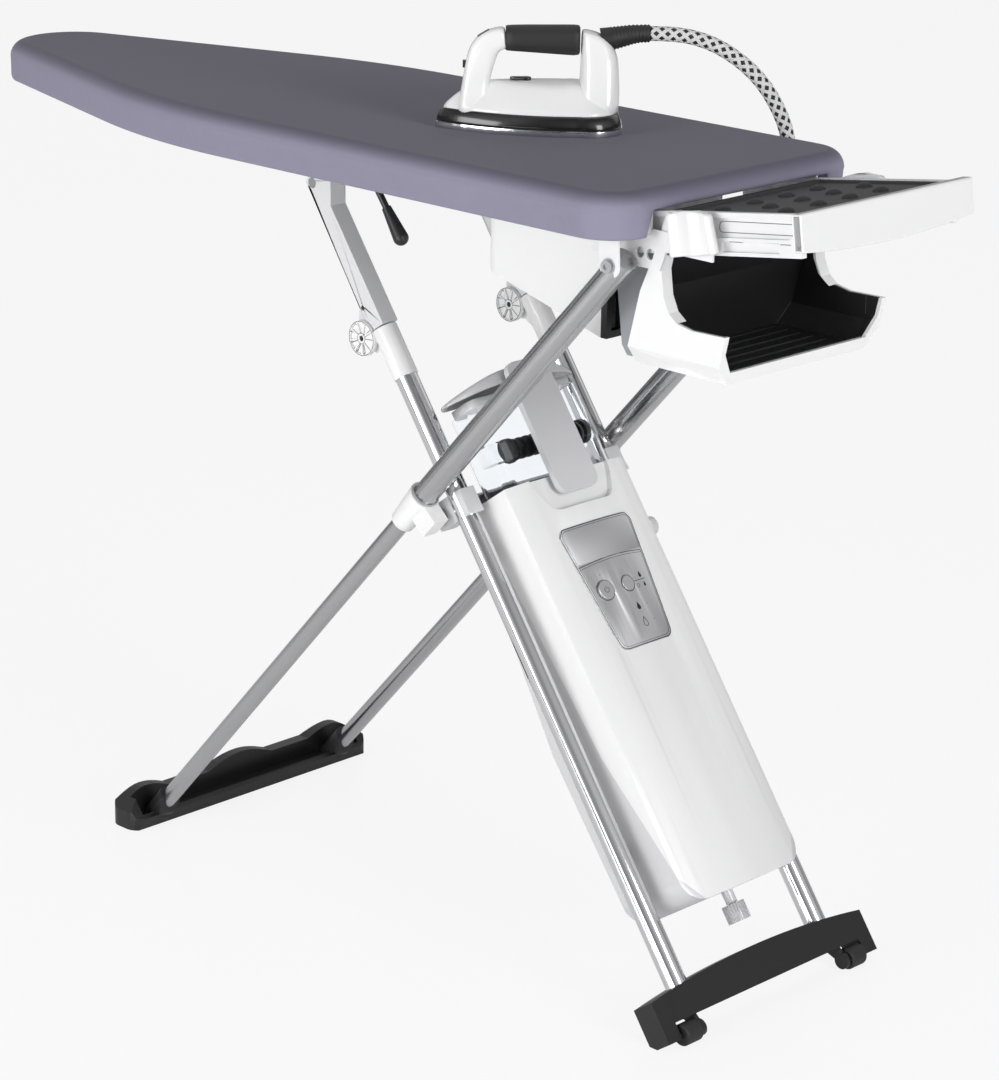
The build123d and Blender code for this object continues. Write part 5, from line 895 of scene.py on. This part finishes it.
def surface_of(solid):
    """A search tree over a mesh, in the place where it stands in the scene."""
    points = [solid.matrix_world @ v.co for v in solid.data.vertices]
    return BVHTree.FromPolygons(points, [tuple(p.vertices) for p in solid.data.polygons])


def closer(path, pitch):
    """The same path with points no further apart than a pitch."""
    path = [Vector(p) for p in path]
    out = [path[0]]
    for a, b in zip(path, path[1:]):
        steps = max(1, math.ceil((b - a).length / pitch))
        out += [a.lerp(b, k / steps) for k in range(1, steps + 1)]
    return out


def ribbon(path, tree, way, width, closed=False, pitch=0.003):
    """Points and faces of a thin strip laid along a path, met from the given way."""
    way = Vector(way).normalized()
    landed = []
    for point in closer(path, pitch):
        place, normal, _, _ = tree.ray_cast(point - way * 0.02, way, 0.06)
        if place is not None:
            landed.append((place, normal if normal.dot(way) < 0 else -normal))
    points, faces = [], []
    for k, (place, normal) in enumerate(landed):
        ahead = landed[min(k + 1, len(landed) - 1)][0] - landed[max(k - 1, 0)][0]
        if closed and k in (0, len(landed) - 1):
            ahead = landed[1][0] - landed[-2][0]
        across = normal.cross(ahead).normalized() * width / 2
        top = place + normal * RIBBON_LIFT
        low = place - normal * 0.0002
        points += [low - across, top - across * 0.8, top + across * 0.8, low + across]
        if k:
            a = (k - 1) * 4
            faces += [(a + j, a + (j + 1) % 4, a + 4 + (j + 1) % 4, a + 4 + j) for j in range(4)]
    last = len(points) - 4
    faces += [(3, 2, 1, 0), (last, last + 1, last + 2, last + 3)]
    return points, faces


def patch(outline, tree, way):
    """A thin filled shape laid on a surface, from the points of its outline."""
    way = Vector(way).normalized()
    ring = []
    for point in outline:
        place, normal, _, _ = tree.ray_cast(Vector(point) - way * 0.02, way, 0.06)
        if place is not None:
            ring.append((place, normal if normal.dot(way) < 0 else -normal))
    count = len(ring)
    points = [place - normal * 0.0002 for place, normal in ring]
    points += [place + normal * RIBBON_LIFT for place, normal in ring]
    faces = [(k, (k + 1) % count, count + (k + 1) % count, count + k) for k in range(count)]
    return points, faces + [tuple(reversed(range(count))), tuple(range(count, 2 * count))]


def lines_piece(name, parts, material, body):
    """One object from several ribbons or patches, riding on a body."""
    points, faces = [], []
    for some_points, some_faces in parts:
        start = len(points)
        points += some_points
        faces += [tuple(start + k for k in face) for face in some_faces]
    piece = new_piece(name, points, faces, material, smooth=False)
    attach(piece, body)
    return piece


# %% [markdown]
# The control panel is a thin metal-faced plate set in the white shell. A dark double
# line runs round it and splits it, rings mark the two buttons, and small drops and a
# power sign say what the lights and buttons are for. All of them are plain signs.

# %% Lines and signs of the control panel
LEG_BASE = Vector((0.569119, 0.0, 0.051))
LEG_OUT = Vector((0.81412, 0.0, 0.58070))
LEG_UP = Vector((-0.58070, 0.0, 0.81412))
ink = moulded("ink", (0.010, 0.010, 0.011), 0.40, 0.000002)
soft_ink = moulded("soft_ink", (0.20, 0.20, 0.21), 0.40, 0.000002)


def on_leg(off, y, along):
    """A place given in millimetres off, across and up the rear leg."""
    return LEG_BASE + LEG_OUT * off / 1000 + LEG_UP * along / 1000 + Vector((0.0, y / 1000, 0.0))


def rounded(corners, radius, steps=6):
    """A closed path round a polygon of the plane, its corners rounded."""
    path = []
    for k, corner in enumerate(corners):
        here = Vector(corner)
        before, after = Vector(corners[k - 1]), Vector(corners[(k + 1) % len(corners)])
        start = here + (before - here).normalized() * radius
        end = here + (after - here).normalized() * radius
        for step in range(steps + 1):
            t = step / steps
            path.append(start * (1 - t) ** 2 + here * 2 * t * (1 - t) + end * t ** 2)
    return path + [path[0]]


def ring_path(y, along, radius, count=40):
    return [(y + radius * math.cos(math.tau * k / count), along + radius * math.sin(math.tau * k / count))
            for k in range(count + 1)]


def panel_line(path, width, tree, closed=False):
    return ribbon([on_leg(64, y, along) for y, along in path], tree, -LEG_OUT, width, closed)


def drop_path(y, along, size):
    """The outline of a drop of water, its tip up."""
    path = []
    for k in range(25):
        turn = math.tau * k / 24
        narrow = math.sin(turn / 2) ** 1.6
        path.append((y + size * 0.5 * math.sin(turn) * narrow, along + size * 0.62 * math.cos(turn)))
    return path


def edge_at(along, inset):
    """Half the panel's width at a height, less an inset."""
    return 43.0 + (62.0 - 43.0) * (along - 374.0) / (533.0 - 374.0) - inset


panel_tree = surface_of(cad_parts["control_panel"])
POWER_AT, STEAM_AT, BUTTON_AT = -30.0, 7.0, 449.0
signs = []
for inset, width in ((0.9, 0.0011), (3.4, 0.0005)):
    high, low = 533.0 - inset, 374.0 + inset
    frame_path = rounded([(-edge_at(low, inset), low), (edge_at(low, inset), low),
                          (edge_at(high, inset), high), (-edge_at(high, inset), high)], 11.0)
    signs.append(panel_line([tuple(p) for p in frame_path], width, panel_tree, True))
for along, width in ((486.4, 0.0010), (483.6, 0.0005)):
    half = edge_at(along, 3.4)
    signs.append(panel_line([(-half, along - 3.0), (-half * 0.5, along - 0.8), (0.0, along),
                             (half * 0.5, along - 0.8), (half, along - 3.0)], width, panel_tree))
signs.append(panel_line(ring_path(POWER_AT, BUTTON_AT, 12.6), 0.0009, panel_tree, True))
signs.append(panel_line(ring_path(STEAM_AT, BUTTON_AT, 10.1), 0.0009, panel_tree, True))
signs.append(panel_line([(17.2, BUTTON_AT), (38.0, BUTTON_AT)], 0.0008, panel_tree))
for y, along, size in ((31.5, 455.5, 6.4), (33.5, 443.0, 5.0), (7.5, 420.0, 8.0)):
    outline = [on_leg(64, a, b) for a, b in drop_path(y, along, size)[:-1]]
    signs.append(patch(outline, panel_tree, -LEG_OUT))
signs.append(panel_line(drop_path(7.5, 400.0, 9.5), 0.0009, panel_tree))
signs.append(panel_line(ring_path(22.0, 442.5, 2.2, 16), 0.0006, panel_tree))
lines_piece("panel_signs", signs, ink, "rear_frame")
faint = [panel_line([(21.0, 419.5), (25.0, 419.5)], 0.0006, panel_tree),
         panel_line([(21.0, 399.5), (25.0, 399.5)], 0.0006, panel_tree),
         panel_line([(-29.5, 467.0), (-29.5, 469.5)], 0.0006, panel_tree)]
lines_piece("panel_ticks", faint, soft_ink, "rear_frame")

power_tree = surface_of(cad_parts["power_button"])
arc = [(POWER_AT + 3.4 * math.sin(math.radians(a)), BUTTON_AT + 3.4 * math.cos(math.radians(a)))
       for a in range(40, 325, 15)]
power_sign = [panel_line(arc, 0.0008, power_tree),
              panel_line([(POWER_AT, BUTTON_AT + 1.0), (POWER_AT, BUTTON_AT + 4.2)], 0.0008, power_tree)]
lines_piece("power_sign", power_sign, ink, "power_key")
print("panel signs:", len(signs) + len(faint) + len(power_sign))

# %% [markdown]
# The knee discs are moulded with spokes whose shadows read as dark lines. Ribbons on
# the spokes, round the rim and round the hub give that drawing on all four discs, and
# dark recessed screw heads sit in the hubs and in the arms' screw holes.

# %% Knee discs and screws
KNEE = on_leg(-28.5, 0.0, 838.4)
shadow_grey = moulded("shadow_grey", (0.16, 0.16, 0.165), 0.5, 0.000004)


def knee_point(radius, degrees_round):
    turn = math.radians(degrees_round)
    return Vector((KNEE.x + radius * math.cos(turn) / 1000, 0.0, KNEE.z + radius * math.sin(turn) / 1000))


def round_knee(radius, start=0, end=360, step=9):
    return [knee_point(radius, a) for a in range(start, end + 1, step)]


knee_tree = surface_of(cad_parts["knee_joints"])
knee_shade_lines, knee_screws = [], []
# Painted shade: ribbons round the rim and hub and along each spoke stand for the shadows of the disc's moulding.
for middle in (-0.124, 0.124):
    for side in (-1.0, 1.0):
        way = Vector((0.0, -side, 0.0))
        lift = Vector((0.0, middle + side * 0.018, 0.0))
        knee_shade_lines.append(ribbon([p + lift for p in round_knee(20.6)], knee_tree, way, 0.0011, True))
        knee_shade_lines.append(ribbon([p + lift for p in round_knee(6.3)], knee_tree, way, 0.0008, True))
        for spoke in range(9):
            turn = -40.0 * spoke - 35.6
            path = [knee_point(7.0, turn) + lift, knee_point(19.4, turn) + lift]
            knee_shade_lines.append(ribbon(path, knee_tree, way, 0.0012))
        knee_screws.append(patch([p + lift for p in round_knee(3.4, 0, 340, 20)], knee_tree, way))
lines_piece("knee_shade_lines", knee_shade_lines, shadow_grey, "rear_frame")
lines_piece("knee_screws", knee_screws, ink, "rear_frame")


def dowel(place, radius, length, way, count=16):
    """Points and faces of a short round pin whose end face is at a place."""
    way = Vector(way).normalized()
    side = way.orthogonal().normalized()
    other = way.cross(side)
    rows = []
    for depth, size in ((0.0, 0.82), (0.08, 1.0), (1.0, 1.0)):
        rows.append([Vector(place) - way * depth * length + (side * math.cos(math.tau * k / count)
                     + other * math.sin(math.tau * k / count)) * radius * size for k in range(count)])
    return skin(rows, first_cap=True, last_cap=True)


arm_screws = []
for y in (-0.124, 0.124):
    for side in (-1.0, 1.0):
        place = on_leg(-8.0, y * 1000 + side * 11.6, 868.4)
        arm_screws.append(dowel(place, 0.0029, 0.006, (0.0, side, 0.0)))
lines_piece("arm_screws", arm_screws, black_gloss, "arm_pair")

# %% [markdown]
# The tank's lid is a bowed blade, thick in the middle and pointed at both ends, and
# hollow beneath. Closed outlines set side by side across the tank give that shape; each
# outline is the lid's section at one place, with a rounded top edge and thin skirts.

# %% The tank's lid
LID_HALF, LID_END, LID_BOW, LID_MIDDLE, LID_REACH = 106.0, 721.0, 21.0, 18.0, 31.5


def lid_section(share):
    """The lid's section at a share of its half width, from one skirt over to the other."""
    left = 1.0 - abs(share) ** 2
    top = LID_END + LID_BOW * left
    reach = LID_REACH * math.sqrt(max(1.0 - abs(share) ** 3.2, 0.015))
    skirt = 1.6 + 15.5 * left ** 0.8
    roof = min(5.0, skirt * 0.6)
    edge = min(3.0, skirt * 0.45)
    half = [(reach, -skirt), (reach, -edge), (reach - edge * 0.3, -edge * 0.3), (reach - edge, 0.0),
            (reach * 0.3, 0.6)]
    inner = [(reach * 0.3, -roof), (reach - 2.4 * reach / LID_REACH, -roof - 0.6),
             (reach - 2.2 * reach / LID_REACH, -skirt)]
    outer = half + [(-a, b) for a, b in reversed(half)]
    under = [(-a, b) for a, b in reversed(inner)] + inner
    return [(LID_MIDDLE + a, share * LID_HALF, top + b) for a, b in outer + under]


shares = [math.sin(math.radians(a)) for a in range(-90, 91, 5)]
lid_parts = [skin([[on_leg(*p) for p in lid_section(share)] for share in shares],
                  first_cap=True, last_cap=True)]
for y in (-45.0, 45.0):
    lid_parts.append(dowel(on_leg(-7.0, y - 11.0, 712.0), 0.003, 0.022, (0.0, -1.0, 0.0)))
seat = rounded([(-3.0, -85.0), (42.0, -85.0), (42.0, 85.0), (-3.0, 85.0)], 13.0)[:-1]
lid_parts.append(skin([[on_leg(off, y, level) for off, y in seat] for level in (705.6, 706.2, 716.0)],
                      first_cap=True, last_cap=True))
lid = lines_piece("crescent_lid", lid_parts, pale_grey, "lid")
for polygon in lid.data.polygons:
    polygon.use_smooth = len(polygon.vertices) == 4
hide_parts("tank_lid")
print("lid points:", len(lid.data.vertices))

# %% [markdown]
# The holder beside the tray is a moulded bracket with two upright flutes, softer than
# any cut block. Its outer face is a small grid of points: the flutes are two waves
# across it, and its edges slant as the real ones do.

# %% The holder brackets


def holder_shape(side):
    """Rings up the bracket: the fluted outer face, then the flat inner one."""
    rows = []
    levels = [(0.0, 0.0030), (0.0, 0.0012), (0.03, 0.0), (0.25, 0.0), (0.5, 0.0), (0.75, 0.0),
              (0.93, 0.0), (0.98, 0.0010), (1.0, 0.0032)]
    for rise, inset in levels:
        row = []
        for step in range(25):
            across = step / 24
            left = 0.5490 + (0.5420 - 0.5490) * rise + inset
            right = 0.6115 + (0.5990 - 0.6115) * rise - inset
            x = left + (right - left) * across
            low = 0.9010 + (0.9140 - 0.9010) * across
            high = 0.9465 + (0.9550 - 0.9465) * across + 0.004 * math.sin(math.pi * across)
            end = min(across, 1 - across) / 0.08
            shoulder = 0.0035 * (1 - math.sqrt(max(1 - (1 - min(end, 1.0)) ** 2, 0.0)))
            flute = 0.0026 * abs(math.sin(math.pi * (2 * across - 0.1))) ** 1.5 if 0.08 < across < 0.92 else 0.0
            out = 0.1528 - shoulder - flute - inset * 0.8
            row.append((x, side * out, low + (high - low) * rise))
        inner = [(x, side * 0.1416, z) for x, _, z in reversed(row)]
        rows.append(row + inner)
    points, faces = skin(rows, first_cap=True, last_cap=True)
    roller = on_tray(0.040, side * 0.1396, -0.0165)
    more_points, more_faces = dowel(roller, 0.0098, 0.0118, (0.0, side, 0.0), 24)
    start = len(points)
    return points + more_points, faces + [tuple(start + k for k in face) for face in more_faces]


both = [holder_shape(side) for side in (-1.0, 1.0)]
brackets = lines_piece("holder_brackets", both, white_gloss, "board")
for polygon in brackets.data.polygons:
    polygon.use_smooth = len(polygon.vertices) == 4
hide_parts("holder_blocks")

# %% [markdown]
# The tray slides on rails with long slots, and each rail has a narrow gap where
# its two folded sheets meet. Fine ribbons on the rail's outer face paint the shade round each slot and in that gap as
# dark lines.

# %% Lines of the tray rails
tray_tree = surface_of(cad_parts["tray_frame"])
rail_shade_lines = []
for side in (-1.0, 1.0):
    way = Vector((0.0, -side, 0.0))
    # Painted shade: the slot outline and the seam are dark ribbons, standing in for the shade at the slot's edge and
    # in the gap between the sheets.
    slot = rounded([(0.598, 0.9330), (0.709, 0.9468), (0.709, 0.9586), (0.598, 0.9448)], 0.0052)
    seam = [(0.616, 0.9262), (0.700, 0.9366)]
    for line, width, closed in ((slot, 0.0011, True), (seam, 0.0010, False)):
        path = [Vector((x, side * 0.150, z)) for x, z in line]
        rail_shade_lines.append(ribbon(path, tray_tree, way, width, closed))
lines_piece("rail_shade_lines", rail_shade_lines, shadow_grey, "tray")

# %% [markdown]
# The pointer on the dome is a small black key with a rounded heel in a white bezel. It
# sets the steam, so it has to look as if a finger could turn it.

# %% The steam pointer


def pointer_outline(grow):
    heel = [(5.4 * math.cos(math.radians(a)), 5.4 * math.sin(math.radians(a))) for a in range(-100, 101, 20)]
    tip = [(-17.0, 2.2), (-19.2, 0.9), (-19.2, -0.9), (-17.0, -2.2)]
    wing = [(-6.0, 4.6)]
    outline = heel + wing + tip + [(-6.0, -4.6)]
    middle = Vector((-4.0, 0.0))
    return [Vector(p) + (Vector(p) - middle).normalized() * grow for p in outline]


pointer_rows = [[on_iron(-2.0 + a, b, z) for a, b in pointer_outline(grow)]
                for grow, z in ((-0.4, 56.3), (0.0, 56.6), (0.0, 58.9), (-0.5, 59.6), (-1.4, 59.9))]
points, faces = skin(pointer_rows, first_cap=True, last_cap=True)
pointer = new_piece("steam_pointer", points, faces, black_gloss)
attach(pointer, "steam_dial")
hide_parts("dome_lever")
bezel_rows = [[on_iron(-2.0 + r * math.cos(math.tau * k / 40), r * math.sin(math.tau * k / 40), z) for k in range(40)]
              for r, z in ((9.6, 54.6), (9.6, 55.9), (9.0, 56.25), (6.8, 56.25))]
points, faces = skin(bezel_rows, first_cap=True, last_cap=True)
bezel = new_piece("pointer_bezel", points, faces, white_gloss)
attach(bezel, "iron")

# %% [markdown]
# Sharp CAD edges look cut from paper, because real mouldings have a small radius that
# catches the light. A bevel modifier rounds them without touching the CAD mesh. The
# importer splits points along sharp edges, so they are welded first.

# %% Soft edges on the solids
SOFT_EDGES = {
    "arms": 2.2, "knee_joints": 0.5, "compartment_shell": 1.2,
    "blower_housing": 1.5, "tray_front_bar": 1.5, "tray_frame": 0.6, "front_foot": 2.0,
    "rear_foot": 2.2, "boiler_front_shell": 0.8, "boiler_rear_shell": 0.8, "tank_lid": 1.0,
    "tank_grip": 2.5, "leg_sleeves": 1.5, "heel_brackets": 0.6, "heel_beams": 0.6,
    "compartment_liner": 0.8, "control_panel": 0.4, "drain_cap": 0.5, "side_knob": 0.5,
    "clamp_block": 1.0, "pivot_collars": 1.2, "hose_socket": 0.8, "iron_soleplate": 0.5,
    "water_tank": 0.4,
}


def soften(solid, width):
    weld = solid.modifiers.new("weld", "WELD")
    weld.merge_threshold = 0.00001
    bevel = solid.modifiers.new("edges", "BEVEL")
    bevel.width = width / 1000
    bevel.segments = 3
    bevel.limit_method = "ANGLE"
    bevel.angle_limit = math.radians(40)
    bevel.use_clamp_overlap = True
    bevel.harden_normals = True


for name, width in SOFT_EDGES.items():
    soften(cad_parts[name], width)

# %% [markdown]
# The room is a pale floor that fades into a white world. The lamps are large and soft.
# Chrome needs something to reflect, so the world is a little darker on one side, which
# draws the long light and dark lines down the tubes.

# %% Floor, lamps and world


def studio_floor():
    points = [(-14, -14, 0), (14, -14, 0), (14, 14, 0), (-14, 14, 0)]
    finish = Finish("studio_floor")
    speckle = finish.clouds(30.0)
    finish.surface(
        Base_Color=finish.between(speckle, (0.90, 0.90, 0.90), (0.92, 0.92, 0.92)),
        Roughness=0.28,
    )
    tree = finish.tree
    glow = tree.nodes.new("ShaderNodeEmission")
    glow.inputs["Strength"].default_value = 1.0
    glow.inputs["Color"].default_value = (1.0, 1.0, 1.0, 1.0)
    rays = tree.nodes.new("ShaderNodeLightPath")
    gloss = Value(finish, rays.outputs["Is Glossy Ray"]) * 0.30
    clear_share = Value(finish, rays.outputs["Is Transmission Ray"]) * 0.80
    seen = Value(finish, rays.outputs["Is Camera Ray"]) * 0.86 + gloss + clear_share
    mix = tree.nodes.new("ShaderNodeMixShader")
    finish.put(mix.inputs[0], seen)
    tree.links.new(finish.shader.outputs[0], mix.inputs[1])
    tree.links.new(glow.outputs[0], mix.inputs[2])
    tree.links.new(mix.outputs[0], tree.nodes["Material Output"].inputs[0])
    floor = new_piece("floor", points, [(0, 1, 2, 3)], finish.material, smooth=False)


def lamp(name, place, target, width, height, power):
    data = bpy.data.lights.new(name, "AREA")
    data.shape = "RECTANGLE"
    data.size = width
    data.size_y = height
    data.energy = power
    light = bpy.data.objects.new(name, data)
    light.location = place
    light.rotation_euler = (Vector(target) - Vector(place)).to_track_quat("-Z", "Y").to_euler()
    bpy.context.scene.collection.objects.link(light)


def studio_world():
    """White to the camera, soft grey for light, and dark and bright cards for gloss."""
    world = bpy.data.worlds.new("studio")
    world.use_nodes = True
    bpy.context.scene.world = world
    tree = world.node_tree
    back = tree.nodes["Background"]
    place = tree.nodes.new("ShaderNodeTexCoord")
    parts = tree.nodes.new("ShaderNodeSeparateXYZ")
    tree.links.new(place.outputs["Generated"], parts.inputs[0])

    def ramp(source, stops):
        node = tree.nodes.new("ShaderNodeValToRGB")
        while len(node.color_ramp.elements) < len(stops):
            node.color_ramp.elements.new(0.5)
        for element, (at, tone) in zip(node.color_ramp.elements, stops):
            element.position = at
            element.color = (tone, tone, tone * 1.01, 1.0)
        tree.links.new(source, node.inputs[0])
        return node.outputs[0]

    def half(source):
        node = tree.nodes.new("ShaderNodeMath")
        node.operation = "MULTIPLY_ADD"
        tree.links.new(source, node.inputs[0])
        node.inputs[1].default_value = 0.5
        node.inputs[2].default_value = 0.5
        return node.outputs[0]

    def mix(blend, factor, first, second):
        node = tree.nodes.new("ShaderNodeMix")
        node.data_type = "RGBA"
        node.blend_type = blend
        for socket, value in ((node.inputs[0], factor), (node.inputs[6], first), (node.inputs[7], second)):
            if isinstance(value, (int, float)):
                socket.default_value = value
            elif isinstance(value, tuple):
                socket.default_value = value
            else:
                tree.links.new(value, socket)
        return node.outputs[2]

    height = ramp(half(parts.outputs[2]), [
        (0.0, 0.05), (0.47, 0.04), (0.53, 0.10), (0.58, 0.62), (0.72, 0.95), (0.86, 0.55), (1.0, 0.80),
    ])
    turn = ramp(half(parts.outputs[0]), [
        (0.0, 0.95), (0.22, 0.80), (0.30, 0.18), (0.40, 0.95), (0.60, 1.0), (0.70, 0.22), (0.80, 0.30), (0.92, 1.0),
    ])
    cards = mix("MULTIPLY", 0.85, height, turn)
    rays = tree.nodes.new("ShaderNodeLightPath")
    soft = ramp(half(parts.outputs[2]), [(0.0, 0.60), (0.50, 0.75), (0.62, 0.62), (0.80, 0.26), (1.0, 0.18)])
    seen = mix("MIX", rays.outputs["Is Glossy Ray"], soft, cards)
    seen = mix("MIX", rays.outputs["Is Transmission Ray"], seen, (0.95, 0.95, 0.95, 1.0))
    seen = mix("MIX", rays.outputs["Is Camera Ray"], seen, (1.0, 1.0, 1.0, 1.0))
    tree.links.new(seen, back.inputs["Color"])
    back.inputs["Strength"].default_value = 1.0


studio_floor()
studio_world()
lamp("key", (-0.4, -4.0, 1.3), (0.1, 0.0, 0.6), 1.8, 1.6, 66.0)
lamp("fill", (4.4, -0.4, 1.9), (0.3, 0.0, 0.5), 1.4, 2.0, 80.0)
lamp("low", (1.4, -3.6, 0.45), (0.4, 0.0, 0.4), 1.6, 0.8, 22.0)
lamp("top", (0.0, 0.4, 3.8), (0.0, 0.0, 0.7), 2.4, 1.6, 7.0)
